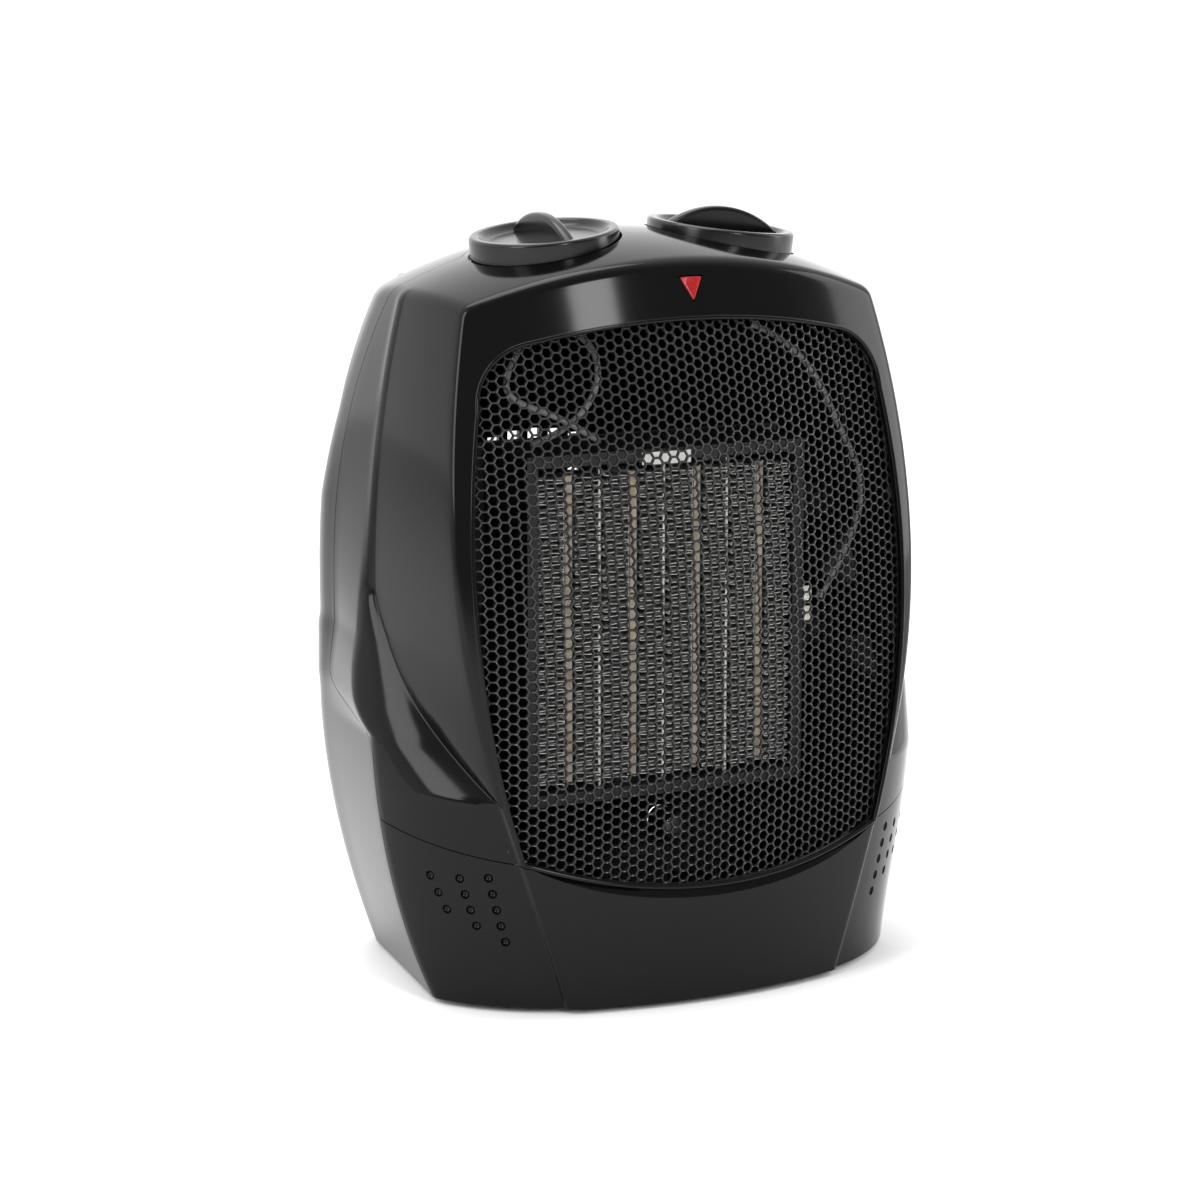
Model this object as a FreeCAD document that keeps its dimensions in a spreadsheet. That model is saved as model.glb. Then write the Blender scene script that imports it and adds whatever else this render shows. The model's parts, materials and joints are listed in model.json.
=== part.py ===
"""Ceramic fan heater, free standing, with two rotary controls on top.

Frame: millimetres, +Z up, front of the heater towards -Y, origin on the floor
under the middle of the heater. Every piece is a solid of its own and is written
to parts/NODE.step under its label.
"""
import FreeCAD, Part
import Sketcher
import math
import os

V = FreeCAD.Vector
doc = FreeCAD.newDocument("ceramic_heater")

# ------------------------------------------------------------------ dimensions
DIMENSIONS = {
    # whole casing
    "foot_gap": 2.0, "wall": 2.5, "front_most": 75.7, "rear_most": 76.5, "crest_z": 252.0,
    "face_radius": 180.0, "belly_z": 92.0, "lean_radius": 430.0, "chin_radius": 900.0,
    "bezel_half": 84.3, "bezel_wide_z": 152.0, "bezel_top_radius": 323.0, "bezel_low_radius": 254.0,
    "bezel_join_z": 73.0, "chin_slope": 0.31,
    "rim_half": 101.2, "rim_z": 90.0, "rim_foot_half": 85.5,
    "seam_half": 94.5, "seam_top_half": 80.0, "seam_y": 30.5, "seam_top_y": 9.5,
    "side_low_half": 98.0, "side_foot_half": 79.5, "rear_bulge": 3.5,
    "arch_radius": 172.0, "crown_radius": 160.0,
    # opening and grille
    "opening_half": 79.0, "opening_top": 226.2, "opening_low": 41.0, "corner_z": 52.5,
    "corner_half": 65.5, "shoulder_half": 74.0, "shoulder_z": 198.5, "lobe_half": 69.3, "lobe_z": 212.2,
    "upper_half": 58.5, "upper_z": 219.4, "grille_gap": 0.1, "grille_sheet": 1.0, "grille_lap": 2.0,
    # knobs and what they turn
    "knob_x": 33.0, "knob_y": -8.5, "knob_z": 252.0, "knob_radius": 25.0, "knob_deep": 7.5,
    "knob_out_tilt": 6.0, "knob_fore_tilt": 3.0, "knob_dish": 2.5, "knob_rim": 2.5,
    "fin_radius": 34.0, "fin_rise": 6.0, "fin_thick": 4.0, "hub_radius": 5.5,
    "seat_gap": 0.8, "seat_drop": 0.6, "spindle_radius": 3.0, "spindle_fit": 0.05,
    "neck_radius": 4.5, "nut_radius": 7.0, "nut_high": 2.0, "switch_wide": 26.0, "switch_high": 18.0,
    # heating block
    "block_half": 47.5, "block_low": 67.0, "block_high": 177.0, "block_front": -34.5, "block_deep": 20.0,
    "frame_wall": 2.0, "bar_wide": 3.0, "plate_thick": 0.8, "fin_sheet": 0.5, "fin_pitch": 6.0,
    # fan and motor
    "fan_z": 121.5, "fan_radius": 49.0, "fan_hub": 13.0, "fan_front": 3.0, "fan_deep": 16.0,
    "blade_thick": 1.6, "ring_radius": 53.0, "duct_wall": 2.0, "duct_half": 60.0, "ring_end": 22.0,
    "shaft_radius": 1.6, "shaft_front": 4.0, "shaft_end": 60.0, "bearing_fit": 0.02,
    "rotor_radius": 13.5, "rotor_gap": 0.5, "stator_front": 33.0, "stator_deep": 16.0,
    "stator_half": 29.0, "stator_low": 84.0, "stator_high": 146.0,
    # small parts
    "lens_half": 4.2, "lens_high": 8.5, "lens_z": 235.3, "foot_radius": 8.0, "foot_x": 58.0,
    "foot_front_y": -40.0, "foot_rear_y": 40.0, "slot_wide": 4.6, "slot_pitch": 8.0,
    "inlet_z": 24.0, "inlet_radius": 5.0, "inlet_x": 48.0,
}

dims = doc.addObject("Spreadsheet::Sheet", "dims")
for row, (alias, value) in enumerate(DIMENSIONS.items(), start=1):
    dims.set(f"A{row}", alias)
    dims.set(f"B{row}", str(value))
    dims.setAlias(f"B{row}", alias)
doc.recompute()


def size(alias):
    """A driving dimension as a plain number."""
    return float(dims.get(alias))


SUB_PARTS = []


def keep(piece, label):
    """Marks a document object as a finished sub-part under its own label."""
    piece.Label = label
    SUB_PARTS.append(piece)
    return piece


# ------------------------------------------------------- drawing helpers
def new_body(label):
    body = doc.addObject("PartDesign::Body", label)
    body.Label = label
    return body


def new_sketch(body, role, offset=None):
    """A sketch on one of the body's own origin planes, offset along its normal."""
    sketch = body.newObject("Sketcher::SketchObject", body.Name + "_sketch")
    plane = next(item for item in body.Origin.OriginFeatures if item.Role == role)
    sketch.AttachmentSupport = [(plane, "")]
    sketch.MapMode = "FlatFace"
    if offset is not None:
        sketch.setExpression("AttachmentOffset.Base.z", offset)
    return sketch


def draw_outline(sketch, points):
    """Closed outline of straight lines."""
    corners = [V(x, y, 0) for x, y in points]
    for start, end in zip(corners, corners[1:] + corners[:1]):
        sketch.addGeometry(Part.LineSegment(start, end), False)
    return sketch


def draw_circle(sketch, x, y, radius):
    """Circle whose radius is bound to an expression."""
    index = sketch.addGeometry(Part.Circle(V(x, y, 0), V(0, 0, 1), 1.0), False)
    constraint = sketch.addConstraint(Sketcher.Constraint("Radius", index, 1.0))
    sketch.setExpression(f"Constraints[{constraint}]", radius)
    return index


def pad(body, sketch, length, reverse=False, middle=False):
    feature = body.newObject("PartDesign::Pad", body.Name + "_pad")
    feature.Profile = sketch
    feature.setExpression("Length", length)
    feature.Reversed = reverse
    feature.Midplane = middle
    return feature


def box(name, sizes, corner):
    """Box with every size and place bound to expressions."""
    solid = doc.addObject("Part::Box", name)
    for prop, value in zip(("Length", "Width", "Height"), sizes):
        solid.setExpression(prop, value)
    for axis, value in zip("xyz", corner):
        solid.setExpression(f"Placement.Base.{axis}", value)
    return solid


TURNS = {
    "y": FreeCAD.Rotation(V(1, 0, 0), -90),
    "z": FreeCAD.Rotation(),
}


def cylinder(name, radius, length, start, along="z"):
    """Round bar from a start point along an axis, bound to expressions."""
    solid = doc.addObject("Part::Cylinder", name)
    solid.setExpression("Radius", radius)
    solid.setExpression("Height", length)
    solid.Placement = FreeCAD.Placement(V(0, 0, 0), TURNS[along])
    for axis, value in zip("xyz", start):
        solid.setExpression(f"Placement.Base.{axis}", value)
    return solid


def cut(name, base, tool):
    result = doc.addObject("Part::Cut", name)
    result.Base = base
    result.Tool = tool
    return result


def common(name, first, second):
    result = doc.addObject("Part::Common", name)
    result.Base = first
    result.Tool = second
    return result


def fuse(name, pieces):
    result = doc.addObject("Part::MultiFuse", name)
    result.Shapes = pieces
    return result


def group(name, pieces):
    """Separate solids that belong to one sub-part, such as a set of screws."""
    result = doc.addObject("Part::Compound", name)
    result.Links = pieces
    return result


# ------------------------------------------------------- casing form
# Every level of the casing is one closed outline, mirrored about X = 0:
# bowed front face, bezel edge, cheek, crease, flared rim, side, rounded back.
def front_y(z):
    """Y of the middle of the bowed front face."""
    radius = size("lean_radius") if z > size("belly_z") else size("chin_radius")
    return -size("front_most") + (z - size("belly_z")) ** 2 / (2 * radius)


def bezel_edge(z):
    """Half width and Y of the edge between front face and cheek."""
    half = size("bezel_half") - (z - size("bezel_wide_z")) ** 2 / (2 * size("bezel_top_radius"))
    if z < size("bezel_wide_z"):
        half = size("bezel_half") - (size("bezel_wide_z") - z) ** 2 / (2 * size("bezel_low_radius"))
    if z < size("bezel_join_z"):
        half = bezel_edge(size("bezel_join_z"))[0] - size("chin_slope") * (size("bezel_join_z") - z)
    return half, front_y(z) + half ** 2 / (2 * size("face_radius"))


def side_line(z):
    """Half width and Y of the line where the cheek meets the back of the casing."""
    if z > 100:
        up = max(z - 107.0, 0.0) / 126.0
        half = size("seam_half") - (size("seam_half") - size("seam_top_half")) * up ** 2.5
        lift = (size("side_low_half") - size("seam_half")) * max(1 - (z - 100) / 20, 0.0)
        half += lift
    else:
        down = max(95.0 - z, 0.0) / 93.0
        half = size("side_low_half")
        half -= (size("side_low_half") - size("side_foot_half")) * down ** 1.8
    if z > 150:
        back = size("seam_y") - (size("seam_y") - size("seam_top_y")) * ((min(z, 236) - 150) / 83) ** 2.2
    else:
        back = size("seam_y") - 4 * min((150 - z) / 50, 1.0) ** 1.5
    return half, back


def cheek_half(z, y):
    """Half width of the plain cheek at depth y, before the flare is added."""
    edge, edge_y = bezel_edge(z)
    side, side_y = side_line(z)
    share = min(max((y - edge_y) / (side_y - edge_y), 0.0), 1.0)
    return edge + (side - edge) * share + 10 * share * (1 - share)


def rim_point(z):
    """Half width and Y of the flared rim."""
    if z <= size("rim_z"):
        down = (size("rim_z") - z) / 88
        half = size("rim_half") - (size("rim_half") - size("rim_foot_half")) * down ** 2
        return half, -21.5 - 7.5 * down - 5 * down ** 6
    rise = z - size("rim_z")
    y = -21.5 + 24 * (1 - math.exp(-rise / 16))
    flare = (size("rim_half") - cheek_half(size("rim_z"), -21.5)) * math.exp(-(rise / 35) ** 1.5)
    return cheek_half(z, y) + flare, y


def crease_point(z):
    """Half width and Y of the crease where the cheek meets the flare."""
    edge, edge_y = bezel_edge(z)
    if z <= size("bezel_join_z"):
        return edge + 1.0, edge_y + 2.0
    y = -3.5 - 56 * (max(135 - z, 0.0) / 63) ** 1.4
    y = max(y, edge_y + 1.0)
    return cheek_half(z, y), y


def back_point(z, share):
    """Half width and Y on the rounded back, share 0 at the side line to 1 at the middle."""
    side, side_y = side_line(z)
    swell = size("rear_bulge") * min(max((190 - z) / 30, 0.0), 1.0) * min(max((z - 95) / 20, 0.0), 1.0)
    middle = size("rear_most") - 14 * ((z - 112) / 121) ** 4
    power = 2.4
    half = (side + swell) * (1 - share ** power) ** (1 / power)
    return half, side_y + share * (middle - side_y)


def draw_level(sketch, z, inset):
    """One level of the casing; inset moves the outline inwards by that much."""
    low = z <= size("bezel_join_z")
    edge, edge_y = bezel_edge(z)
    crease, crease_y = crease_point(z)
    rim, rim_y = rim_point(z)
    side, side_y = side_line(z)
    face = V(0, front_y(z) + inset, 0)
    edge_at = V(edge - inset * (0.41 if low else 1.0), edge_y + inset, 0)
    crease_at = V(crease - inset * (0.41 if low else 0.9), crease_y + inset, 0)
    rim_at = V(rim - inset, rim_y + 0.41 * inset, 0)
    side_at = V(side - inset, side_y, 0)
    back = [back_point(z, share) for share in (0.25, 0.5, 0.75, 0.92)]
    back_at = [V(half - inset, y - inset * share, 0)
               for (half, y), share in zip(back, (0.2, 0.4, 0.7, 0.9))]
    middle_at = V(0, back_point(z, 1.0)[1] - inset, 0)

    def mirrored(point):
        return V(-point.x, point.y, 0)

    def flare_arc(first, last):
        """Arc from crease to rim, bowed outwards by a share of its chord."""
        chord = last - first
        bow = V(chord.y, -chord.x, 0).normalize() * (0.085 * chord.Length)
        return first, first + chord * 0.5 + bow, last

    first, bowed, last = flare_arc(crease_at, rim_at)
    sketch.addGeometry(Part.Arc(mirrored(edge_at), face, edge_at), False)
    sketch.addGeometry(Part.LineSegment(edge_at, crease_at), False)
    sketch.addGeometry(Part.Arc(first, bowed, last), False)
    sketch.addGeometry(Part.LineSegment(rim_at, side_at), False)
    spline = Part.BSplineCurve()
    spline.interpolate([side_at] + back_at + [middle_at]
                       + [mirrored(point) for point in reversed(back_at)] + [mirrored(side_at)])
    sketch.addGeometry(spline, False)
    sketch.addGeometry(Part.LineSegment(mirrored(side_at), mirrored(rim_at)), False)
    sketch.addGeometry(Part.Arc(mirrored(last), mirrored(bowed), mirrored(first)), False)
    sketch.addGeometry(Part.LineSegment(mirrored(crease_at), mirrored(edge_at)), False)


def casing_loft(label, inset, bottom):
    """Casing form lofted through its levels, from bottom to above the crest."""
    body = new_body(label)
    sketches = []
    for z in (bottom, 16.0, 32.0, 50.0, 66.0, 76.0, 84.0, 92.0, 102.0, 116.0, 134.0, 160.0, 190.0,
              220.0, 256.0):
        sketch = new_sketch(body, "XY_Plane")
        sketch.AttachmentOffset = FreeCAD.Placement(V(0, 0, z), FreeCAD.Rotation())
        draw_level(sketch, z, inset)
        sketches.append(sketch)
    loft = body.newObject("PartDesign::AdditiveLoft", label + "_loft")
    loft.Profile = sketches[0]
    loft.Sections = sketches[1:]
    loft.Ruled = True
    return body


def crown(label, drop):
    """Barrel whose upper side is the arched, crowned top of the casing."""
    body = new_body(label)
    sketch = new_sketch(body, "XZ_Plane")
    half = 110.0
    top = size("crest_z") - drop
    sag = half ** 2 / (2 * (size("arch_radius") - drop))
    axis_z = size("crest_z") - size("crown_radius")
    sketch.addGeometry(Part.Arc(V(-half, top - sag, 0), V(0, top, 0), V(half, top - sag, 0)), False)
    sketch.addGeometry(Part.LineSegment(V(half, top - sag, 0), V(half, axis_z, 0)), False)
    sketch.addGeometry(Part.LineSegment(V(half, axis_z, 0), V(-half, axis_z, 0)), False)
    sketch.addGeometry(Part.LineSegment(V(-half, axis_z, 0), V(-half, top - sag, 0)), False)
    sketch.addGeometry(Part.LineSegment(V(-half, axis_z, 0), V(half, axis_z, 0)), True)
    turn = body.newObject("PartDesign::Revolution", label + "_turn")
    turn.Profile = sketch
    turn.ReferenceAxis = (sketch, ["Axis0"])
    turn.Angle = 360
    return body




def casing_form(label, inset, bottom):
    """Closed form of the casing: lofted levels under the crowned top."""
    return common(label, casing_loft(label + "_levels", inset, bottom), crown(label + "_crown", inset))


def side_prism(label, points, half="105.0"):
    """Zone of the casing given by its outline in side view, extruded along X."""
    body = new_body(label)
    sketch = draw_outline(new_sketch(body, "YZ_Plane"), points)
    pad(body, sketch, f"2 * {half}", middle=True)
    return body


SEAM_LEVELS = (256.0, 233.0, 220.0, 205.0, 190.0, 170.0, 150.0, 125.0, 100.0)
RIM_LEVELS = (86.0, 74.0, 60.0, 40.0, 22.0, 12.0, 2.0)


def front_zone():
    """Everything in front of the seam, which follows the rim below the flare."""
    seam = [(side_line(z)[1], z) for z in SEAM_LEVELS]
    rim = [(rim_point(z)[1], z) for z in RIM_LEVELS]
    points = seam + [(4.0, 95.0)] + rim
    return points + [(rim[-1][0], -10.0), (-90.0, -10.0), (-90.0, 256.0)]


PARTING_REAR = (-20.5, 63.5)
PARTING_FRONT = (-90.0, 43.9)


def parting_prism():
    """Everything under the sloping line between front housing and lower cover."""
    return side_prism("parting_zone", [PARTING_REAR, PARTING_FRONT, (-90.0, -12.0), (20.0, -12.0),
                                       (20.0, 63.5)])


def opening_outline(lap):
    """Front view of the grille opening, widened all round by the lap."""
    half, low, top = size("opening_half"), size("opening_low"), size("opening_top")
    corner_half, corner_z = size("corner_half"), size("corner_z")
    return {
        "corner": V(corner_half + lap, corner_z - 0.5 * lap, 0),
        "waist": V(half + lap, 145.0, 0),
        "shoulder": V(size("shoulder_half") + lap, size("shoulder_z") + 0.2 * lap, 0),
        "lobe": V(size("lobe_half") + 0.8 * lap, size("lobe_z") + 0.6 * lap, 0),
        "upper": V(size("upper_half") + 0.4 * lap, size("upper_z") + 0.9 * lap, 0),
        "crown": V(0, top + lap, 0),
        "chin": V(0, low - lap, 0),
    }


def opening_prism(label, lap):
    """Grille opening as a solid through the front face."""
    body = new_body(label)
    sketch = new_sketch(body, "XZ_Plane")
    at = opening_outline(lap)

    def mirrored(point):
        return V(-point.x, point.y, 0)

    sketch.addGeometry(Part.Arc(at["corner"], at["waist"], at["shoulder"]), False)
    sketch.addGeometry(Part.Arc(at["shoulder"], at["lobe"], at["upper"]), False)
    sketch.addGeometry(Part.Arc(at["upper"], at["crown"], mirrored(at["upper"])), False)
    sketch.addGeometry(Part.Arc(mirrored(at["upper"]), mirrored(at["lobe"]), mirrored(at["shoulder"])), False)
    sketch.addGeometry(Part.Arc(mirrored(at["shoulder"]), mirrored(at["waist"]), mirrored(at["corner"])),
                       False)
    sketch.addGeometry(Part.Arc(mirrored(at["corner"]), at["chin"], at["corner"]), False)
    pad(body, sketch, "100.0")
    return body


# knob axes lean outwards and a little forwards
def knob_placement(side):
    """Frame of a knob: origin in the middle of its rim, Z along its spindle."""
    outwards = FreeCAD.Rotation(V(0, 1, 0), side * size("knob_out_tilt"))
    forwards = FreeCAD.Rotation(V(1, 0, 0), size("knob_fore_tilt"))
    origin = V(side * size("knob_x"), size("knob_y"), size("knob_z"))
    return FreeCAD.Placement(origin, outwards.multiply(forwards))


def along_knob(piece, side, depth, turn=0.0):
    """Puts a piece drawn upright at the origin onto a knob's axis, its foot at the depth."""
    frame = knob_placement(side)
    local = FreeCAD.Placement(V(0, 0, depth), FreeCAD.Rotation(V(0, 0, 1), turn))
    piece.Placement = frame.multiply(local)
    return piece


def knob_cylinder(name, side, radius, length, depth):
    """Round solid on a knob's axis, standing on the given depth below the rim."""
    solid = doc.addObject("Part::Cylinder", name)
    solid.setExpression("Radius", radius)
    solid.setExpression("Height", length)
    return along_knob(solid, side, depth)


SEAT_FLOOR = -(size("knob_deep") + size("seat_drop"))
SIDES = {-1: "left", 1: "right"}


# ------------------------------------------------------- casing shells
outer_form = casing_form("outer_form", 0.0, size("foot_gap"))
inner_form = casing_form("inner_form", size("wall"), -4.0)
front_prism = side_prism("front_region", front_zone())
lower_prism = parting_prism()
opening = opening_prism("opening", 0.0)
casing_shell = cut("casing_shell", outer_form, inner_form)
front_shell = common("front_shell", casing_shell, front_prism)


POST_PLACES = {"upper": (60.0, 231.0), "lower": (72.0, 34.0)}
POST_JOINT_Y = 34.0


def case_posts(name, place, radius, start_y, length):
    """A pair of round posts along Y at a screw place, one on each side."""
    x, z = POST_PLACES[place]
    return [cylinder(f"{name}_{SIDES[side]}", radius, length, (str(side * x), start_y, str(z)), "y")
            for side in (-1, 1)]


def front_posts(place):
    """Screw posts from the front wall to the joint plane, trimmed by the casing form."""
    posts = fuse(f"front_posts_{place}",
                 case_posts(f"front_post_{place}", place, "4.5", "-72.0", str(POST_JOINT_Y + 72.0)))
    return common(f"front_posts_trimmed_{place}", posts, outer_form)


def pilot_holes(place):
    return fuse(f"pilots_{place}", case_posts(f"pilot_{place}", place, "1.5", str(POST_JOINT_Y - 20), "21.0"))


def seat_cups(name, length):
    """A pair of upright cups round the knob axes, from under the seat floor upwards."""
    return fuse(name, [knob_cylinder(f"{name}_{SIDES[side]}", side,
                                     "dims.knob_radius + dims.seat_gap + dims.wall", length,
                                     SEAT_FLOOR - size("wall")) for side in (-1, 1)])


def knob_seats():
    """Cups sunk in the top that the knobs turn in, before they are hollowed."""
    return common("knob_seats", seat_cups("seat_cups", "20.0"), outer_form)


def knob_wells():
    """Space of the seats and the holes for the switch necks."""
    wells = []
    for side in (-1, 1):
        wells.append(knob_cylinder(f"well_{SIDES[side]}", side, "dims.knob_radius + dims.seat_gap",
                                   "20.0", SEAT_FLOOR))
        wells.append(knob_cylinder(f"neck_hole_{SIDES[side]}", side, "dims.neck_radius + 0.1",
                                   "10.0", SEAT_FLOOR - 5))
    return fuse("knob_wells", wells)


def lens_frame(depth):
    """Frame on the sloping face at the indicator: Z points out of the face."""
    z = size("lens_z")
    lean = math.degrees(math.atan((z - size("belly_z")) / size("lean_radius")))
    turn = FreeCAD.Rotation(V(1, 0, 0), 90 - lean)
    place = FreeCAD.Placement(V(0, front_y(z), z), turn)
    return place.multiply(FreeCAD.Placement(V(0, 0, depth), FreeCAD.Rotation()))


def lens_prism(label, growth, depth, length):
    """Triangle standing on its tip, seen square on, as a prism through the face."""
    body = new_body(label)
    sketch = new_sketch(body, "XY_Plane")
    half = size("lens_half") + growth * 1.6
    top = size("lens_high") / 2 + growth
    draw_outline(sketch, [(-half, top), (0, -size("lens_high") / 2 - 2 * growth), (half, top)])
    pad(body, sketch, str(length))
    body.Placement = lens_frame(depth)
    return body


DUCT_SCREW_X = 76.0
DUCT_SCREW_LEVELS = (107.0, 153.0)
DUCT_FLANGE_Y = 0.0
DUCT_SCREW_PLACES = [(side, z) for side in (-1, 1) for z in DUCT_SCREW_LEVELS]


def duct_bosses():
    """Bosses behind the duct flange, each tied to the side wall by a rib."""
    pieces = []
    start = DUCT_FLANGE_Y + size("duct_wall")
    for side, z in DUCT_SCREW_PLACES:
        name = f"{SIDES[side]}_{z:.0f}"
        place = (str(side * DUCT_SCREW_X), str(start), str(z))
        pieces.append(cylinder(f"duct_boss_{name}", "4.5", "12.0", place, "y"))
        corner = DUCT_SCREW_X if side > 0 else -DUCT_SCREW_X - 30
        rib_place = (str(corner), str(start), f"{z} - 1.5")
        pieces.append(box(f"duct_rib_{name}", ("30.0", "12.0", "3.0"), rib_place))
    return common("duct_bosses", fuse("duct_boss_set", pieces), outer_form)


def duct_pilots():
    return [cylinder(f"duct_pilot_{SIDES[side]}_{z:.0f}", "1.5", "10.0",
                     (str(side * DUCT_SCREW_X), str(DUCT_FLANGE_Y), str(z)), "y")
            for side, z in DUCT_SCREW_PLACES]


front_solid = fuse("front_solid", [cut("front_above", front_shell, lower_prism), knob_seats(),
                                   front_posts("upper"), duct_bosses()])
front_holes = fuse("front_holes", [opening, knob_wells(), pilot_holes("upper"),
                                   lens_prism("lens_hole", 0.12, -6.0, 12.0)] + duct_pilots())
front_housing = keep(cut("front_housing", front_solid, front_holes), "front_housing")


def dimples():
    """Three slanting rows of small round recesses on each cheek of the lower cover."""
    rows = {
        "inner": ((72.9, -54.6, 47.2), (66.3, -55.4, 25.1), 5),
        "middle": ((80.0, -48.1, 46.3), (75.7, -50.0, 30.2), 4),
        "outer": ((87.9, -40.0, 46.2), (84.4, -43.2, 35.0), 3),
    }
    balls = []
    for name, (first, last, count) in rows.items():
        for index in range(count):
            share = index / (count - 1)
            for side in (-1, 1):
                ball = doc.addObject("Part::Sphere", f"dimple_{name}_{index}_{SIDES[side]}")
                ball.Radius = 1.5
                x, y, z = (a + (b - a) * share for a, b in zip(first, last))
                ball.Placement.Base = V(side * x, y, z)
                balls.append(ball)
    return fuse("dimples", balls)


def base_bosses(name, y, grip):
    """Bosses that the base screws bite into, each tied to the side wall."""
    pieces = []
    for side in (-1, 1):
        x = side * size("foot_x")
        pieces.append(cylinder(f"{name}_boss_{SIDES[side]}", "5.0", "12.0", (str(x), y, "5.0")))
        corner = x if side > 0 else x - grip
        pieces.append(box(f"{name}_rib_{SIDES[side]}", (str(grip), "3.0", "12.0"),
                          (str(corner), f"{y} - 1.5", "5.0")))
    return common(name + "_bosses", fuse(name + "_boss_set", pieces), outer_form)


def base_pilots(name, y):
    return [cylinder(f"{name}_pilot_{SIDES[side]}", "1.5", "11.0",
                     (str(side * size("foot_x")), y, "5.0")) for side in (-1, 1)]


lower_solid = fuse("lower_solid", [common("lower_shell", front_shell, lower_prism), front_posts("lower"),
                                   base_bosses("front_base", "dims.foot_front_y", 30)])
lower_holes = fuse("lower_holes", [opening, pilot_holes("lower"), dimples()]
                   + base_pilots("front_base", "dims.foot_front_y"))
lower_front_cover = keep(cut("lower_front_cover", lower_solid, lower_holes), "lower_front_cover")


def rear_sockets():
    """Posts behind the joint plane that the case screws pass through."""
    posts = [post for place in POST_PLACES
             for post in case_posts(f"rear_post_{place}", place, "5.5", str(POST_JOINT_Y), "60.0")]
    return common("rear_posts", fuse("rear_post_set", posts), outer_form)


SCREW_HEAD_Y = 46.0


def rear_screw_holes():
    holes = []
    for place in POST_PLACES:
        holes += case_posts(f"clearance_{place}", place, "1.8", str(POST_JOINT_Y - 1), "30.0")
        holes += case_posts(f"head_well_{place}", place, "3.6", str(SCREW_HEAD_Y), "50.0")
    return holes


def inlet_slots():
    """Upright air slots in the back, their lengths following a circle."""
    slots = []
    reach = size("fan_radius") + 6
    count = int(reach // size("slot_pitch"))
    for index in range(-count, count + 1):
        x = index * size("slot_pitch")
        half = math.sqrt(reach ** 2 - x ** 2) - 3
        for part, (low, high) in {"low": (-half, -2.5), "high": (2.5, half)}.items():
            if high - low < 6:
                continue
            slots.append(box(f"slot_{index + count}_{part}", ("dims.slot_wide", "50.0", str(high - low)),
                             (str(x - size("slot_wide") / 2), "45.0", f"dims.fan_z + {low}")))
    return slots


rear_shell = cut("rear_shell", cut("behind_seam", casing_shell, front_prism),
                 seat_cups("seat_clearance", "20.0"))
rear_solid = fuse("rear_solid", [rear_shell, rear_sockets(),
                                 base_bosses("rear_base", "dims.foot_rear_y", 32)])
inlet_place = ("dims.inlet_x", "45.0", "dims.inlet_z")
inlet_hole = cylinder("inlet_hole", "dims.inlet_radius", "40.0", inlet_place, "y")
rear_holes = fuse("rear_holes", rear_screw_holes() + inlet_slots() + [inlet_hole]
                  + base_pilots("rear_base", "dims.foot_rear_y"))
rear_housing = keep(cut("rear_housing", rear_solid, rear_holes), "rear_housing")


# ------------------------------------------------------- base, feet and screws
def base_plate():
    """Flat floor of the casing, inside the walls and under the bosses."""
    slab = box("base_slab", ("220.0", "180.0", "2.5"), ("-110.0", "-90.0", "2.5"))
    plate = common("base_blank", slab, inner_form)
    holes = []
    for side in (-1, 1):
        for name, y in (("front", "dims.foot_front_y"), ("rear", "dims.foot_rear_y")):
            holes.append(cylinder(f"base_hole_{name}_{SIDES[side]}", "1.8", "6.0",
                                  (str(side * size("foot_x")), y, "1.0")))
    return cut("base_plate", plate, fuse("base_holes", holes))


keep(base_plate(), "base_plate")


def corner_sets(maker):
    """One piece at each corner foot."""
    return [maker(f"{name}_{SIDES[side]}", str(side * size("foot_x")), y)
            for side in (-1, 1)
            for name, y in (("front", "dims.foot_front_y"), ("rear", "dims.foot_rear_y"))]


def rubber_foot(name, x, y):
    pad_solid = cylinder(f"foot_pad_{name}", "dims.foot_radius", "2.5", (x, y, "0.0"))
    recess = cylinder(f"foot_recess_{name}", "3.6", "3.0", (x, y, "0.6"))
    return cut(f"foot_{name}", pad_solid, recess)


def base_screw(name, x, y):
    head = cylinder(f"base_screw_head_{name}", "3.0", "1.6", (x, y, "0.9"))
    shank = cylinder(f"base_screw_shank_{name}", "1.5", "11.0", (x, y, "2.5"))
    return fuse(f"base_screw_{name}", [head, shank])


keep(group("rubber_feet", corner_sets(rubber_foot)), "rubber_feet")
keep(group("base_screws", corner_sets(base_screw)), "base_screws")


def case_screws():
    screws = []
    for place, (x, z) in POST_PLACES.items():
        for side in (-1, 1):
            name = f"{place}_{SIDES[side]}"
            at = (str(side * x), str(POST_JOINT_Y - 16), str(z))
            head_at = (str(side * x), str(SCREW_HEAD_Y), str(z))
            shank = cylinder(f"case_shank_{name}", "1.5", str(SCREW_HEAD_Y - POST_JOINT_Y + 16), at, "y")
            head = cylinder(f"case_head_{name}", "3.2", "2.2", head_at, "y")
            screws.append(fuse(f"case_screw_{name}", [shank, head]))
    return group("case_screws", screws)


keep(case_screws(), "case_screws")


# ------------------------------------------------------- grille and indicator
def front_grille():
    """Pressed sheet behind the opening, bowed like the front face."""
    gap, sheet = size("wall") + size("grille_gap"), size("grille_sheet")
    skin = cut("grille_skin", casing_form("grille_front", gap, 20.0),
               casing_form("grille_back", gap + sheet, 10.0))
    return common("front_grille", skin, opening_prism("grille_outline", size("grille_lap")))


keep(front_grille(), "front_grille")
keep(lens_prism("indicator_lens", 0.0, -4.0, 4.4), "indicator_lens")


def indicator_lamp():
    """Neon lamp in its holder behind the lens."""
    lamp = doc.addObject("Part::Cylinder", "indicator_lamp")
    lamp.Radius = 3.0
    lamp.Height = 12.0
    lamp.Placement = lens_frame(-16.5)
    return lamp


keep(indicator_lamp(), "indicator_lamp")


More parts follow.
